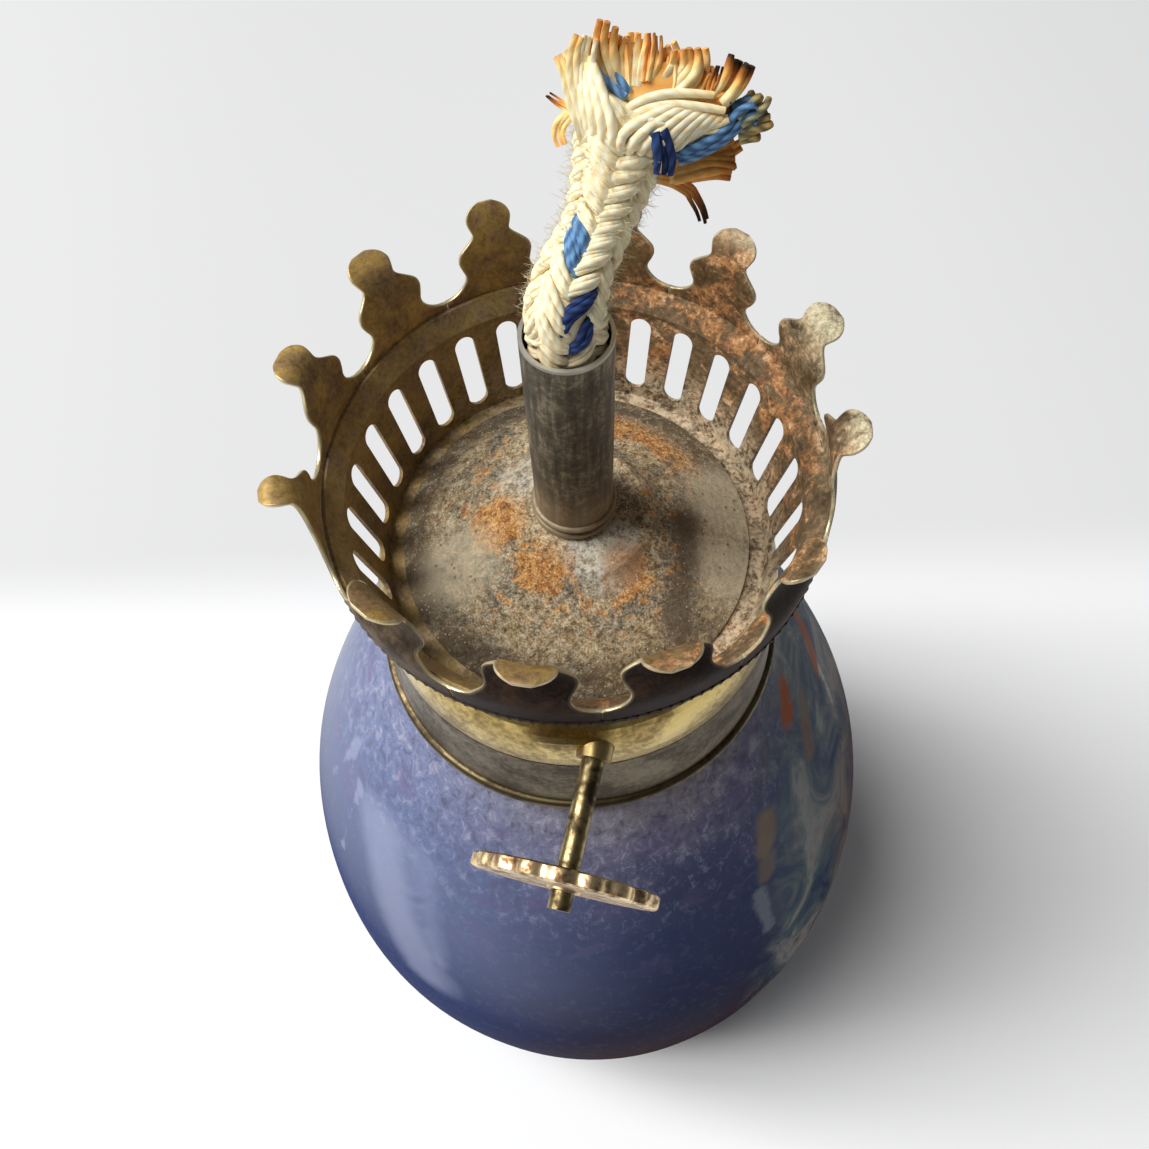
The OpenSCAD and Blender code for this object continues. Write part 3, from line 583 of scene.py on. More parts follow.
# azimuth from the back, lean at the root, curl over the tip, length share, turn of the tip,
# the share of the length where the curl starts, and the width of the lobes
prongs = [(13, 3, 40, 1.03, 0, 0.45, 0.9), (40.5, -1, 65, 1.03, 0, 0.45, 0.92),
          (66.5, 4, 90, 0.96, 0, 0.45, 0.88), (94.5, -19, 98, 1.06, 2, 0.38, 0.9),
          (128.5, -29, 112, 1.03, 0, 0.4, 1), (162, -35, 130, 1, 0, 0.4, 1),
          (191, -35, 130, 1, 0, 0.4, 1), (224.5, -29, 110, 1.06, 0, 0.4, 1.08),
          (259, 1, 130, 0.95, 0, 0.45, 0.62), (288.2, 7, 100, 1, 0, 0.45, 0.85),
          (315.5, 11, 65, 1.05, 0, 0.45, 0.9), (343.7, 7, 34, 1.04, 0, 0.45, 0.88)]
# share of the prong's length, half width in millimetres
outline = [(0.16, 4.4), (0.24, 4.3), (0.34, 4.6), (0.42, 5.0), (0.5, 4.85), (0.57, 4.1),
           (0.63, 3.0), (0.68, 2.55), (0.74, 2.88), (0.82, 3.2), (0.9, 2.95), (0.96, 2.1),
           (1.0, 0.9)]
crown_lean = math.degrees(math.atan((band_top_r - band_low_r) / band_h))


def half_width(share, room):
    """Half width at a share of the length; room is the half width of the prong's sector."""
    high = share * prong_len
    round_gap = room - gap_r * math.sqrt(max(0, 1 - (1 - min(1, high / gap_r)) ** 2))
    if share <= outline[0][0]:
        return round_gap
    for (a, wide_a), (b, wide_b) in zip(outline, outline[1:]):
        if share <= b:
            part = (share - a) / (b - a)
            part = part * part * (3 - 2 * part) * 0.5 + part * 0.5
            wide = wide_a + (wide_b - wide_a) * part
            mix = min(1, max(0, (share - 0.16) / 0.16))
            return round_gap * (1 - mix) + wide * mix
    return outline[-1][1]


def bent(prong, share):
    """Radius and height of the outer face along a prong's middle."""
    r, z, steps = band_top_r, valley_z, 24
    for step in range(steps):
        at = (step + 0.5) / steps * share
        angle = math.radians(crown_lean + prong[1] * min(1, 4 * at)
                             + prong[2] * max(0, (at - prong[5]) / (1 - prong[5])) ** 1.3)
        r += math.sin(angle) * prong_len * prong[3] * share / steps
        z += math.cos(angle) * prong_len * prong[3] * share / steps
    return r, z


# %% Crown
across = [-1, -0.92, -0.74, -0.54, -0.36, -0.18, 0, 0.18, 0.36, 0.54, 0.74, 0.92, 1]
along = [0, 0.003, 0.012, 0.027, 0.05, 0.08, 0.115, 0.155, 0.2, 0.25, 0.3, 0.35, 0.4, 0.45,
         0.5, 0.55, 0.6, 0.64, 0.68, 0.72, 0.77, 0.82, 0.87, 0.92, 0.96, 0.985, 1.0]
band_rows = 5
columns, rows = len(across) * len(prongs), band_rows + len(along)
deselect()
bpy.ops.mesh.primitive_grid_add(x_subdivisions=columns - 1, y_subdivisions=rows - 1, size=1)
crown = bpy.context.object
crown.name = "prong_crown"
edge = crown.data.attributes.new("edge", "FLOAT", "POINT")
random.seed(5)
bow = [(random.uniform(-0.35, 0.35), random.uniform(-0.25, 0.25)) for _ in prongs]
for vertex in crown.data.vertices:
    i = round((vertex.co.x + 0.5) * (columns - 1))
    j = round((vertex.co.y + 0.5) * (rows - 1))
    k, q = divmod(i, len(across))
    prong, before, after = prongs[k], prongs[k - 1][0], prongs[(k + 1) % len(prongs)][0]
    c = across[q]
    span = ((prong[0] - before) % 360 if c < 0 else (after - prong[0]) % 360) / 2
    room = math.radians(span) * band_top_r
    if j < band_rows:
        share = j / band_rows
        r, z = band_low_r + (band_top_r - band_low_r) * share, crown_base + band_h * share
        side, turn = c * room, 0
    else:
        share = along[j - band_rows]
        r, z = bent(prong, share)
        lobes = 1 + (prong[6] - 1) * min(1, max(0, share / 0.3 - 1))
        side, turn = c * half_width(share, room) * lobes, prong[4] * share ** 1.5
        cup = (abs(side) / 5) ** 2 * share * bow[k][0 if c < 0 else 1]
        r += cup
        z -= cup * 0.3
    angle, swing = side / band_top_r, math.radians(prong[0] + turn)
    out, aside = r - band_top_r * (1 - math.cos(angle)), band_top_r * math.sin(angle)
    vertex.co = Vector((out * math.sin(swing) + aside * math.cos(swing),
                        out * math.cos(swing) - aside * math.sin(swing), z)) * MM
    rim = j >= band_rows and (q in (0, len(across) - 1) or j == rows - 1)
    edge.data[vertex.index].value = 1.0 if rim else 0.0
bpy.ops.object.mode_set(mode="EDIT")
bpy.ops.mesh.select_mode(type="FACE")
bpy.ops.mesh.select_all(action="DESELECT")
bpy.ops.object.mode_set(mode="OBJECT")
for face in crown.data.polygons:
    face.select = face.index % (columns - 1) % len(across) == len(across) - 1
bpy.ops.object.mode_set(mode="EDIT")
bpy.ops.mesh.delete(type="FACE")
bpy.ops.mesh.select_all(action="SELECT")
bpy.ops.mesh.remove_doubles(threshold=1e-6)
bpy.ops.mesh.flip_normals()
bpy.ops.object.mode_set(mode="OBJECT")
# The outer face wears the darker painted-shade copy of the patina; the inner face and the rims wear the
# patina.
dress(crown, crown_painted_shade)
crown.data.materials.append(crown_patina.material)
modify(crown, "SOLIDIFY", thickness=0.5 * MM, offset=-1, material_offset=1,
       material_offset_rim=1)
modify(crown, "SUBSURF", levels=1, render_levels=1)
smooth(crown, 60)
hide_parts("crown_ring")
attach(crown, "burner")
print("crown:", len(crown.data.polygons), "faces")

# %% [markdown]
# The crown's lower edge is milled, like the edge of a coin. A thin turned ring gets the
# teeth: every second column of its outer points is pushed out.

# %% Milled edge
teeth = 150
low = crown_base
milled = turned("milled_edge", [(28.95, low + 0.05), (29.12, low), (29.16, low + 0.45),
                                (29.2, low + 0.9), (29.0, low + 1.0)], teeth * 4, closed=True)
for vertex in milled.data.vertices:
    x, y = vertex.co.x / MM, vertex.co.y / MM
    if math.hypot(x, y) > 29.05:
        wave = math.cos(math.atan2(y, x) * teeth)
        push = 1 + 0.12 * max(0, wave) / 29
        vertex.co.x *= push
        vertex.co.y *= push
smooth(milled, 50)
# The milled edge wears the same painted-shade finish as the crown's outer face.
dress(milled, crown_painted_shade)
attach(milled, "burner")

# %% [markdown]
# The thumb wheel was stamped from sheet and its rim nipped into scallops, so a thumb can
# turn it. It is turned flat on the table, its rim is scalloped by moving points, and then it
# is stood up on the spindle, whose line the measured lamp gives.

# %% Thumb wheel
joint = next(j for j in frame["record"]["behaviour"]["joints"] if j["name"] == "winder_turn")
spindle_at, spindle_back = Vector(joint["pos_m"]), Vector(joint["axis"]).normalized()
scallops, wheel_r, wheel_t, wheel_out = 18, 11.25, 1.8, 40.8
wheel = turned("scalloped_wheel",
               [(1.42, -0.5), (1.95, -0.5), (2.1, -0.35), (2.15, 0.0), (9.6, 0.0), (10.9, 0.06),
                (wheel_r - 0.06, 0.25), (wheel_r, 0.6), (wheel_r, 1.2), (wheel_r - 0.06, 1.55),
                (10.9, 1.74), (9.6, wheel_t), (2.15, wheel_t), (2.1, 2.05), (1.95, 2.1),
                (1.42, 2.1)], scallops * 12, closed=True)
for vertex in wheel.data.vertices:
    x, y = vertex.co.x / MM, vertex.co.y / MM
    r = math.hypot(x, y)
    if r > 10.5:
        dip = 0.55 * (0.5 + 0.5 * math.cos(math.atan2(y, x) * scallops)) ** 1.6
        vertex.co.x *= 1 - dip / r
        vertex.co.y *= 1 - dip / r
stand = (Matrix.Translation(spindle_at - spindle_back * (wheel_out - wheel_t / 2) * MM)
         @ (-spindle_back).to_track_quat("Z", "Y").to_matrix().to_4x4())
wheel.data.transform(stand)
smooth(wheel, 40)
dress(wheel, wheel_brass)
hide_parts("thumb_wheel")
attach(wheel, "winder")

# %% [markdown]
# The wick is a braided cotton cord. Its yarns cross over and under, and what shows outside
# is columns of slanting stitches, left and right by turns, which read as rows of Vs. Each
# stitch is a short pair of yarns that rises out of the cord and dives back into it. A yarn
# is a swept tube with an UV map, across and along, so its twist can be drawn on it.

# %% Yarn
class Yarns:
    """Collects yarns as tubes, with how blue and how burnt each point is, for one mesh."""

    def __init__(self):
        self.points, self.faces, self.blue, self.burn, self.uv = [], [], [], [], []

    def add(self, line, widths, blue, burns, sides=6, flat=1.0, outs=None):
        """A tube along line, as wide as widths; flat squashes it along its out directions."""
        base, count = len(self.points), len(line)
        run, reach = 0.0, [0.0]
        for a, b in zip(line, line[1:]):
            run += (b - a).length
            reach.append(run)
        side = (line[1] - line[0]).normalized().orthogonal().normalized()
        for n in range(count):
            ahead = (line[min(n + 1, count - 1)] - line[max(n - 1, 0)]).normalized()
            if outs:
                side = ahead.cross(outs[n])
            side = (side - ahead * side.dot(ahead)).normalized()
            up = side.cross(ahead)
            for m in range(sides):
                turn = 2 * math.pi * m / sides
                self.points.append(line[n] + (side * math.cos(turn) + up * math.sin(turn) * flat)
                                   * widths[n] / 2)
                self.blue.append(blue)
                self.burn.append(burns[n])
        for n in range(count - 1):
            for m in range(sides):
                a, b = base + n * sides + m, base + n * sides + (m + 1) % sides
                self.faces.append((a, b, b + sides, a + sides))
                self.uv += [(m / sides, reach[n]), ((m + 1) / sides, reach[n]),
                            ((m + 1) / sides, reach[n + 1]), (m / sides, reach[n + 1])]
        for ring, order in ((0, -1), (count - 1, 1)):
            self.faces.append(tuple(base + ring * sides + m for m in range(sides))[::order])
            self.uv += [(0.5, reach[ring])] * sides

    def piece(self, name, finish):
        mesh = bpy.data.meshes.new(name)
        mesh.from_pydata([p * MM for p in self.points], [], self.faces)
        for key, values in (("blue", self.blue), ("burn", self.burn)):
            mesh.attributes.new(key, "FLOAT", "POINT").data.foreach_set("value", values)
        layer = mesh.uv_layers.new(name="along")
        for loop, uv in zip(layer.data, self.uv):
            loop.uv = uv
        made = bpy.data.objects.new(name, mesh)
        bpy.context.scene.collection.objects.link(made)
        smooth(made, 70)
        dress(made, finish)
        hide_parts("wick")
        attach(made, "wick_body")
        return made


# %% Cotton
def make_cotton(name, plies, twist, relief):
    """Cotton yarn: plies strands side by side, that turn once round it in twist mm."""
    cotton = Finish(name, Roughness=0.9, Sheen_Weight=0.08, Sheen_Roughness=0.5,
                    Specular_IOR_Level=0.2)
    uv = cotton.node("ShaderNodeUVMap", {"uv_map": "along"}, {})
    u = cotton.node("ShaderNodeSeparateXYZ", {}, {0: uv}, "X")
    v = cotton.node("ShaderNodeSeparateXYZ", {}, {0: uv}, "Y")
    wave = (u * plies + v / twist) * (2 * math.pi)
    ply = wave.maths("SINE", wave) * 0.5 + 0.5
    fibre = cotton.noise(0.14, 4.0, 0.75)
    cloud = cotton.noise(2.2, 4.0, 0.6)
    cream = cotton.ramp(ply * 0.3 + fibre * 0.45 + cloud * 0.35,
                        (0.26, (0.90, 0.64, 0.34)), (0.42, (1.0, 0.835, 0.50)),
                        (0.64, (1.0, 0.93, 0.67)))
    # The cotton turns darker and browner just above the tube's mouth.
    darker_near_mouth = 1 - cotton.z.step(tube_top - 1.0, tube_top + 3.5)
    cream = cotton.blend(darker_near_mouth * 0.6, cream, (0.50, 0.36, 0.19))
    burn = (cotton.attribute("burn") + (fibre - 0.5) * 0.22 + (cloud - 0.5) * 0.15).most(0.0)
    char = cotton.ramp(burn, (0.10, (1.0, 1.0, 1.0)), (0.26, (1.0, 0.84, 0.55)),
                       (0.44, (1.0, 0.57, 0.22)), (0.66, (0.50, 0.19, 0.055)),
                       (0.88, (0.045, 0.022, 0.012)))
    dye = cotton.attribute("blue")
    blue = cotton.ramp(dye, (0.0, (0.80, 0.68, 0.45)), (0.35, (0.34, 0.42, 0.38)),
                       (0.75, (0.13, 0.27, 0.48)), (1.0, (0.018, 0.040, 0.135)))
    blue = cotton.blend(1.0, blue, cotton.ramp(ply * 0.4 + fibre * 0.6, (0.3, (0.55, 0.55, 0.6)),
                                               (0.7, (1.5, 1.5, 1.4))), "MULTIPLY")
    body = cotton.blend(dye.step(0.1, 0.3), cream, blue)
    cotton.paint(Base_Color=cotton.blend(1.0, body, char, "MULTIPLY"))
    cotton.bumps(ply * 0.5 + fibre * 0.6, relief)
    return cotton


yarn_cotton = make_cotton("yarn_cotton", 2.0, 1.3, 0.06)
stitch_cotton = make_cotton("stitch_cotton", 2.0, 1.1, 0.08)

# %% [markdown]
# The cord's middle line is laid through the places the wick passes: straight in the tube,
# then leaning back and to the right. A frame rides along it: which way is front, and which
# way is right. A stitch is then placed by its turn round the cord and its way along it.

# %% The cord's line
wick_z = tube_top + 2.8
cord = [(0, 0, -25, 3.9, 3.9), (0, 0, -12, 3.9, 3.9), (0, 0, -4, 4.0, 4.0), (0, 0, -1.5, 4.0, 4.0),
        (0.0, 0.3, 0.5, 3.95, 3.95), (1.0, 2.3, 2.6, 3.6, 3.7), (2.8, 4.8, 4.6, 3.3, 3.5),
        (4.1, 7.0, 6.8, 3.6, 3.6), (5.0, 8.6, 9.0, 4.1, 3.7), (5.7, 9.6, 11.2, 4.6, 3.8),
        (6.7, 10.3, 13.4, 5.2, 3.4)]


def eased(values, at):
    """Catmull-Rom through rows of values at a fractional row."""
    n = min(int(at), len(values) - 2)
    t = at - n
    p = [values[max(0, min(len(values) - 1, n + d))] for d in (-1, 0, 1, 2)]
    return [0.5 * (2 * b + (c - a) * t + (2 * a - 5 * b + 4 * c - d) * t * t
                   + (3 * b - a - 3 * c + d) * t ** 3) for a, b, c, d in zip(*p)]


samples = [eased(cord, n / 16) for n in range(16 * (len(cord) - 1) + 1)]
reach = [0.0]
for a, b in zip(samples, samples[1:]):
    reach.append(reach[-1] + (Vector(b[:3]) - Vector(a[:3])).length)
cord_length = reach[-1]


def on_cord(run, turn, deep=0.0):
    """The point of the cord's skin at a run in mm and a turn in radians from the front."""
    run = max(0.0, min(cord_length - 1e-3, run))
    n = next(i for i in range(len(reach) - 1) if reach[i + 1] > run)
    part = (run - reach[n]) / (reach[n + 1] - reach[n])
    row = [a + (b - a) * part for a, b in zip(samples[n], samples[n + 1])]
    middle, ahead = Vector(row[:3]), (Vector(samples[n + 1][:3]) - Vector(samples[n][:3])).normalized()
    front = Vector((0, -0.71, 0.70))
    front = (front - ahead * front.dot(ahead)).normalized()
    right = ahead.cross(front)
    skin = right * math.sin(turn) * (row[3] - deep) + front * math.cos(turn) * (row[4] - deep)
    return middle + skin + Vector((0, 0, wick_z))


print(f"cord: {cord_length:.1f} mm of braid")

# %% Braid
stitch_columns, stitch_pitch, stitch_rise, stitch_turn = 8, 1.7, 2.0, -0.02
navy, sky = 1.0, 0.78
blue_stitches = {(7, 16): sky, (7, 17): sky, (0, 13): navy, (0, 14): navy}
random.seed(11)
braid = Yarns()
wide = 2 * math.pi / stitch_columns
for column in range(stitch_columns):
    low_side, high_side = (column, column + 1) if column % 2 == 0 else (column + 1, column)
    for number in range(int((cord_length - 1.0) / stitch_pitch)):
        middle_run = (number + 0.9) * stitch_pitch + random.uniform(-0.15, 0.15)
        steep = stitch_rise + random.uniform(-0.25, 0.25)
        for strand in (-1, 0, 1):
            puff = random.uniform(0.66, 0.80)
            line, widths, outs = [], [], []
            for n in range(12):
                t = n / 11
                place = -0.2 + 1.4 * t
                turn = (low_side + (high_side - low_side) * place) * wide + stitch_turn
                lift = math.sin(math.pi * t) ** 0.6
                run = (middle_run + steep * place + strand * (0.30 + 0.14 * lift)
                       + 0.08 * math.sin(t * 6 + number + column + strand))
                line.append(on_cord(run, turn, 0.95 - 0.65 * lift + 0.16 * abs(strand)))
                outs.append(on_cord(run, turn) - on_cord(run, turn, 1.0))
                widths.append((0.65 + 0.35 * lift) * puff)
            braid.add(line, widths, blue_stitches.get((column, number), 0.0), [0.0] * 12, 8, 0.9,
                      outs)
middle = [(on_cord(run, 0.0) + on_cord(run, math.pi)) / 2
          for run in (reach[min(4 * n, len(reach) - 1)] for n in range(4 * (len(cord) - 1) + 1))]
core = [2 * (min(eased(cord, n / 4)[3:]) - 0.75) for n in range(4 * (len(cord) - 1) + 1)]
braid.add(middle, core, 0.0, [0.1] * len(core), 16)
braid_piece = braid.piece("wick_braid", stitch_cotton)
print("braid:", len(braid_piece.data.polygons), "faces")

# %% Tail
tail = turned("wick_tail", [(3.2, 34), (3.8, 35), (3.8, 60), (3.8, 110), (3.8, 160),
                            (3.8, wick_z - 24), (3.2, wick_z - 22), (3.0, wick_z + 0.5)], 24)
for vertex in tail.data.vertices:
    if vertex.co.z < 0.185:
        across_flat = vertex.co.x / MM - 2.9
        if across_flat > 0:
            vertex.co.x = 2.9 * MM
smooth(tail, 40)
tail_cotton = Finish("tail_cotton", Roughness=0.9)
weave = tail_cotton.noise(1.1, 4.0, 0.6, 0.5, tail_cotton.squeeze(1.0, 1.0, 0.5))
tail_cotton.paint(Base_Color=tail_cotton.ramp(weave, (0.3, (0.34, 0.24, 0.12)),
                                              (0.7, (0.66, 0.52, 0.32))))
tail_cotton.bumps(weave, 0.3)
dress(tail, tail_cotton)
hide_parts("wick")
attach(tail, "wick_body")

# %% [markdown]
# Above the braid the yarns come loose and fan out, and the flame has burnt their ends:
# golden, then brown, then black. The yarns that make the fan's shape are listed one by one,
# each by its width, its colour, how burnt it is at both ends, and points right, up and toward
# the front of the fan. Thinner ones, placed at random behind them, fill the fan.

# %% Fray
fray_at, fray_right = Vector((7.4, 10.4, wick_z + 13.6)), Vector((1, 0, 0))
fray_up, fray_front = Vector((0, 0.55, 0.835)), Vector((0, -0.835, 0.55))
hand_laid = [
    (1.1, 0, 0.0, 0.35,
     [(-4.6, -4.6, -0.6), (-5.3, -1.6, 0.9), (-5.9, 0.4, 0.9), (-6.3, 2.3, 0.7), (-6.9, 3.6, 0.4)]),
    (1.35, 0, 0, 0.4,
     [(-4.2, -4.4, 0.2), (-4.9, -0.8, 1.4), (-5.5, 1.7, 1.4), (-5.5, 3.4, 1.2), (-5.0, 4.7, 1.0)]),
    (1.1, 0, 0, 0.3,
     [(-3.4, -4.0, 0.6), (-4.2, -0.1, 1.4), (-4.8, 2.0, 1.3), (-4.7, 3.7, 1.3), (-4.4, 4.7, 1.2)]),
    (0.45, 0, 0.2, 1,
     [(-6.1, -1.0, -0.5), (-6.6, -0.4, -0.7), (-7.4, 0.1, -0.8), (-8.1, 0.6, -1.0)]),
    (0.8, 0, 0.25, 0.45,
     [(-6.0, -0.8, -0.8), (-7.0, -1.6, -0.9), (-7.3, -2.5, -0.9), (-7.0, -3.4, -1.0)]),
    (1.0, 0.75, 0, 0.2,
     [(-1.5, 0.5, 0.9), (-2.4, 1.3, 0.7), (-3.5, 2.4, 0.5), (-4.3, 3.6, 0.3)]),
    (1.5, 0, 0.15, 1,
     [(-2.2, 1.0, 0.0), (-3.0, 2.7, 0.4), (-3.3, 4.3, 0.8), (-3.0, 5.7, 1.2)]),
    (1.4, 0, 0.1, 0.9,
     [(-1.6, 0.7, 0.0), (-2.0, 2.5, 0.1), (-1.8, 3.6, 0.3), (-1.4, 4.6, 0.4)]),
    (1.5, 0, 0.1, 0.75,
     [(-0.9, 1.0, 0.3), (-0.8, 2.7, 0.2), (-0.6, 3.9, 0.1), (-0.5, 4.8, 0.0)]),
    (0.6, 0, 0.4, 1,
     [(-0.1, 1.3, 0.8), (0.2, 2.9, 0.7), (0.4, 4.0, 0.7), (0.4, 4.9, 0.6)]),
    (0.7, 0, 0.3, 1,
     [(0.3, 1.3, 1.0), (0.8, 2.7, 0.9), (0.9, 3.7, 0.9), (0.9, 4.7, 0.8)]),
    (1.7, 0, 0.1, 0.7,
     [(0.9, 0.9, 0.0), (1.8, 2.2, 0.1), (1.9, 3.0, 0.1), (1.6, 3.7, 0.2)]),
    (1.5, 0, 0.1, 0.95,
     [(1.5, 0.7, 0.2), (2.6, 1.9, 0.3), (2.9, 2.7, 0.4), (2.9, 3.5, 0.5)]),
    (1.3, 0, 0.1, 1,
     [(2.1, 0.6, 0.4), (3.4, 1.8, 0.6), (3.6, 2.7, 0.7), (3.5, 3.6, 0.9)]),
    (1.3, 0, 0.1, 0.8,
     [(2.9, 0.4, 0.0), (4.1, 1.4, 0.1), (4.4, 2.4, 0.2), (4.3, 3.4, 0.3)]),
    (1.1, 0, 0.2, 0.5,
     [(4.2, -0.2, -0.3), (4.8, 0.5, -0.3), (5.3, 1.2, -0.3), (5.0, 1.7, -0.3)]),
    (0.6, 0, 0.45, 1,
     [(5.1, -0.3, 0.8), (5.4, 0.8, 0.9), (5.7, 1.5, 1.1), (5.9, 2.2, 1.2)]),
    (2.1, 0, 0.15, 1,
     [(5.9, -0.3, 0.3), (6.8, 0.7, 0.4), (7.4, 1.7, 0.5), (7.8, 2.6, 0.6)]),
    (1.2, 0, 0.3, 0.95,
     [(4.4, -0.5, 0.9), (5.7, -0.5, 0.9), (6.5, -0.5, 0.9), (7.1, -0.4, 0.9)]),
    (1.3, 0, 0, 0.25,
     [(-2.2, -1.7, 1.8), (-0.7, -0.7, 1.6), (1.4, -0.2, 1.4), (3.6, -0.2, 1.2),
      (5.4, -0.4, 1.0)]),
    (1.35, 0, 0, 0.2,
     [(-2.4, -2.3, 1.9), (-0.6, -1.3, 1.7), (1.7, -1.0, 1.5), (4.1, -1.2, 1.3),
      (6.3, -1.6, 1.1)]),
    (1.25, 0, 0, 0.2,
     [(-1.9, -2.9, 1.8), (0.1, -2.1, 1.6), (2.3, -1.7, 1.4), (4.3, -1.9, 1.1), (6.2, -2.1, 0.9)]),
    (1.1, 0, 0, 0.2,
     [(-1.3, -3.5, 1.7), (0.3, -2.6, 1.5), (1.9, -2.3, 1.3), (3.8, -2.5, 1.1), (5.5, -2.5, 0.9)]),
    (1.4, 1, 0, 0,
     [(0.8, -2.2, 3.1), (1.1, -3.3, 3.1), (1.4, -4.5, 2.9), (1.3, -5.6, 2.4)]),
    (0.9, 1, 0, 0,
     [(0.5, -2.4, 2.9), (0.8, -3.3, 2.7), (1.0, -4.3, 2.3)]),
    (1.3, 0.8, 0, 0,
     [(1.9, -3.9, 1.3), (3.3, -3.8, 1.2), (5.1, -3.3, 1.0), (6.6, -2.4, 0.9), (7.6, -1.3, 0.7),
      (8.9, -0.8, 0.6)]),
    (1.1, 0.7, 0, 0.1,
     [(2.6, -4.6, 1.0), (4.2, -4.1, 0.9), (5.9, -3.3, 0.7), (7.2, -2.3, 0.6), (8.3, -1.3, 0.4),
      (9.5, -1.9, 0.3)]),
    (1.6, 0.35, 0.25, 0.5,
     [(7.6, -1.9, 0.2), (8.5, -1.2, 0.1), (9.3, -0.5, 0.1), (9.5, -0.1, -0.0)]),
    (1.8, 0.3, 0.3, 0.5,
     [(7.8, -2.6, 0.0), (8.8, -2.0, 0.0), (9.8, -1.8, 0.0), (10.3, -1.6, 0.0)]),
    (1.5, 0.3, 0.35, 0.55,
     [(7.8, -3.1, -0.2), (8.8, -2.8, -0.2), (9.5, -2.7, -0.2), (9.8, -2.7, -0.2)]),
    (1.6, 0, 0.3, 0.6,
     [(1.6, -5.2, -0.6), (3.9, -5.0, -0.8), (6.1, -4.7, -1.0), (8.1, -3.7, -1.2)]),
    (1.8, 0, 0.35, 0.6,
     [(2.0, -5.9, -0.8), (4.1, -5.5, -1.0), (6.2, -5.2, -1.2), (8.0, -4.8, -1.4)]),
    (1.8, 0, 0.4, 0.65,
     [(2.4, -6.3, -0.9), (4.3, -5.9, -1.1), (6.2, -5.7, -1.2), (7.8, -6.0, -1.4)]),
    (0.8, 0, 0.4, 1,
     [(1.1, -6.4, -0.8), (2.5, -6.8, -1.0), (3.8, -7.5, -1.1), (4.3, -8.1, -1.3),
      (5.0, -9.3, -1.4), (5.4, -10.5, -1.6)]),
]


def in_fray(a, b, c):
    return fray_at + fray_right * a + fray_up * b + fray_front * c


def along_line(points, steps):
    return [Vector(eased(points, n * (len(points) - 1) / steps)) for n in range(steps + 1)]


random.seed(23)
fray = Yarns()
for wide, blue, burn_from, burn_to, points in hand_laid:
    if points[-1][1] > 3.2 and abs(points[-1][0]) < 5:
        burn_to *= 0.6
    plies = max(3, round(wide / 0.45))
    for ply in range(plies):
        shift = (ply / (plies - 1) - 0.5) * wide * 0.85
        depth = random.uniform(-0.35, 0.35) * wide
        line = along_line(points, 14)
        cut = random.uniform(0.9, 1.0) if burn_to > 0.5 else 1.0
        path, last = [], len(line) - 1
        for n, (a, b, c) in enumerate(line):
            t = n / last
            ahead = line[min(n + 1, last)] - line[max(n - 1, 0)]
            square = Vector((-ahead.y, ahead.x, 0)).normalized()
            twist = math.cos(t * 5 + ply * 2.1)
            spread = shift * (0.75 + 0.35 * t) + 0.07 * twist
            path.append(in_fray(a + square.x * spread, b + square.y * spread,
                                c + depth + 0.1 * math.sin(t * 6 + ply)))
        path = path[:max(4, round(len(path) * cut))]
        count = len(path)
        burns = [burn_from + (burn_to - burn_from) * (n / (count - 1)) ** 1.6 for n in range(count)]
        thick = wide / plies * 1.95
        fray.add(path, [thick * (1 - 0.35 * (n / (count - 1)) ** 2) for n in range(count)], blue,
                 burns, 6, 0.8)
fan_edge = [(-7, 3.0), (-5, 4.3), (-3, 5.0), (0, 4.3), (2, 3.2), (4, 2.8), (6, 1.4), (8, 1.6)]


def edge_at(a):
    for (x0, y0), (x1, y1) in zip(fan_edge, fan_edge[1:]):
        if a <= x1:
            return y0 + (y1 - y0) * max(0, (a - x0) / (x1 - x0))
    return fan_edge[-1][1]


for n in range(240):
    a0, b0, c0 = random.uniform(-4.4, 4.4), random.uniform(-4.5, 0.0), random.uniform(-2.6, 0.7)
    a1 = a0 * 1.3 + 0.9 + random.uniform(-0.8, 0.8)
    b1 = edge_at(a1) * random.uniform(0.75, 1.0)
    c1 = c0 * 0.6 + random.uniform(-0.6, 0.4)
    bend = random.uniform(-0.5, 0.5)
    mid = ((a0 + a1) / 2 + bend, (b0 + b1) / 2, (c0 + c1) / 2 + bend * 0.5)
    line = [in_fray(*p) for p in along_line([(a0, b0, c0), mid, (a1, b1, c1)], 9)]
    scorch = random.uniform(0.25, 0.58)
    burns = [0.14 + scorch * (k / 9) ** 2.2 for k in range(10)]
    thick = random.uniform(0.5, 0.85)
    fray.add(line, [thick * (1 - 0.4 * k / 9) for k in range(10)], 0.0, burns, 5)
bed = [in_fray(0.2 * k, -4.5 + 1.2 * k, -1.0) for k in range(7)]
fray.add(bed, [5.0, 6.5, 8.0, 9.0, 9.6, 9.6, 8.0], 0.0, [0.1, 0.15, 0.2, 0.28, 0.36, 0.45, 0.5],
         24, 0.42, [fray_front] * 7)
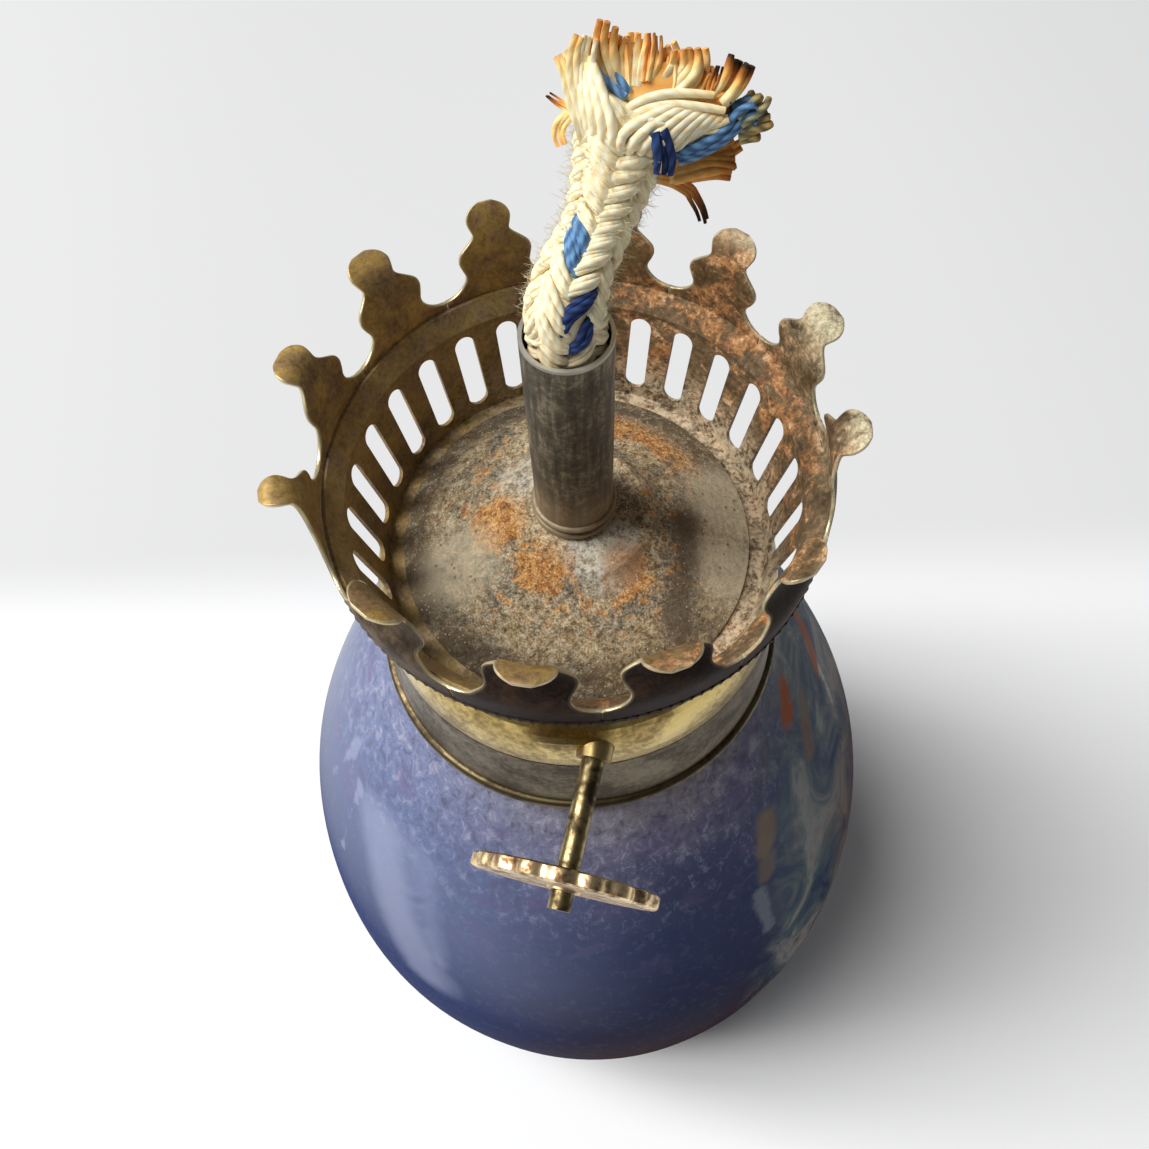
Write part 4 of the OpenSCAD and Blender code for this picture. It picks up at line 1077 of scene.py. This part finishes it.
for n in range(15):
    turn = -1.5 + 3.0 * n / 14
    foot, shoulder = on_cord(cord_length - 3.4, turn, 0.9), on_cord(cord_length - 1.4, turn, -0.1)
    if turn < -0.05:
        tip = in_fray(-6.2 + (turn + 1.5) * 1.3, random.uniform(2.0, 3.6), 0.8)
    else:
        tip = in_fray(3.2 + turn * 2.4, -0.4 - turn * 0.9, 1.1)
    line = along_line([foot, shoulder, (shoulder + tip) / 2 + Vector((0, 0, 0.3)), tip], 10)
    fray.add(line, [0.75, 0.85] + [0.9] * 8 + [0.75], 0.0, [0.0] * 8 + [0.08, 0.16, 0.25], 8)
fray_piece = fray.piece("wick_fray", yarn_cotton)
print("fray:", len(fray_piece.data.polygons), "faces")

# %% [markdown]
# Cotton always sheds. A few hundred single fibres stand off the braid, and the light that
# they catch makes the cord's soft outline.

# %% Fuzz
random.seed(31)
fuzz = Yarns()
for n in range(4200):
    run, turn = random.uniform(24.5, cord_length), random.uniform(-math.pi, math.pi)
    if -0.8 < turn < 1.0 and run < 32.5:
        continue
    foot = on_cord(run, turn, 0.5)
    out = (on_cord(run, turn, -1.0) - foot).normalized()
    sway = Vector((random.uniform(-1, 1), random.uniform(-1, 1), random.uniform(-1, 1)))
    far = random.uniform(0.35, 1.3)
    line = [foot + out * (far * t * (1 - 0.35 * t)) + sway * (0.75 * far * t * t)
            for t in (0, 0.25, 0.5, 0.75, 1.0)]
    if min(point.z for point in line) < tube_top + 2.2:
        continue
    fuzz.add(line, [0.045, 0.04, 0.035, 0.03, 0.02], 0.0, [0.0] * 5, 3)
fuzz_piece = fuzz.piece("wick_fuzz", yarn_cotton)

# %% Finishes for the measured pieces
dressing = {
    "font": glaze, "collar": collar_brass, "collar_cement": old_plaster,
    "screw_skirt": hidden_brass, "chamber_floor": hidden_brass,
    "burner_shoulder": shoulder_brass, "slotted_basket": basket_patina,
    "deck_plate": deck_crust, "crown_ring": crown_patina, "wick_tube": tube_steel,
    "wheel_box": hidden_brass, "shaft_bushing": hidden_brass,
    "winder_shaft": spindle_brass, "thumb_wheel": wheel_brass,
    "star_wheel_near": hidden_brass, "star_wheel_far": hidden_brass, "wick": cotton,
}
for name, finish in dressing.items():
    dress(nodes[name], finish)
print("finishes:", len(dressing))

# %% [markdown]
# The lamp stands on a plain pale floor that runs from white in front to light grey behind.
# A big soft lamp on the left does most of the lighting, and throws the shadow to the right.

# %% Floor, lamps and room
floor_half = 3.0
bpy.ops.mesh.primitive_plane_add(size=2 * floor_half, location=(0, 0, 0))
floor = bpy.context.object
floor.name = "floor"
paper = Finish("floor_paper", Roughness=0.9)
grey_from, grey_to = 62.0, 100.0
grey = paper.blend(paper.x.step(-160.0, 160.0), (0.67, 0.67, 0.67), (0.75, 0.75, 0.75))
paper.paint(Base_Color=paper.blend(paper.y.step(grey_from, grey_to), (0.89, 0.89, 0.89), grey))
dress(floor, paper)


def area_lamp(name, place, size, power, aim=(0, 0, 150)):
    data = bpy.data.lights.new(name, "AREA")
    data.shape, data.size, data.size_y = "RECTANGLE", size[0] * MM, size[1] * MM
    data.energy = power
    lamp = bpy.data.objects.new(name, data)
    bpy.context.scene.collection.objects.link(lamp)
    lamp.location = Vector(place) * MM
    lamp.rotation_mode = "QUATERNION"
    lamp.rotation_quaternion = (Vector(aim) - Vector(place)).to_track_quat("-Z", "Y")
    return lamp


window_at, window_size, window_power = Vector((-1385, 130, 2070)), (1050, 1900), 86.0
window_gap = 60
for across_pane in (-1, 1):
    for up_pane in (-1, 1):
        pane = [(size - window_gap) / 2 for size in window_size]
        right = Vector((0.09, 0.996, 0.0)) * across_pane * (pane[0] + window_gap) / 2
        upward = Vector((0.83, -0.08, 0.56)) * up_pane * (pane[1] + window_gap) / 2
        area_lamp("window_pane", window_at + right + upward, pane, window_power / 4,
                  right + upward + Vector((0, 0, 100)))
world = bpy.data.worlds.new("room")
world.use_nodes = True
world.node_tree.nodes["Background"].inputs["Color"].default_value = (0.93, 0.95, 1.0, 1)
world.node_tree.nodes["Background"].inputs["Strength"].default_value = 0.11
bpy.context.scene.world = world
bpy.context.scene.view_settings.view_transform = "Standard"
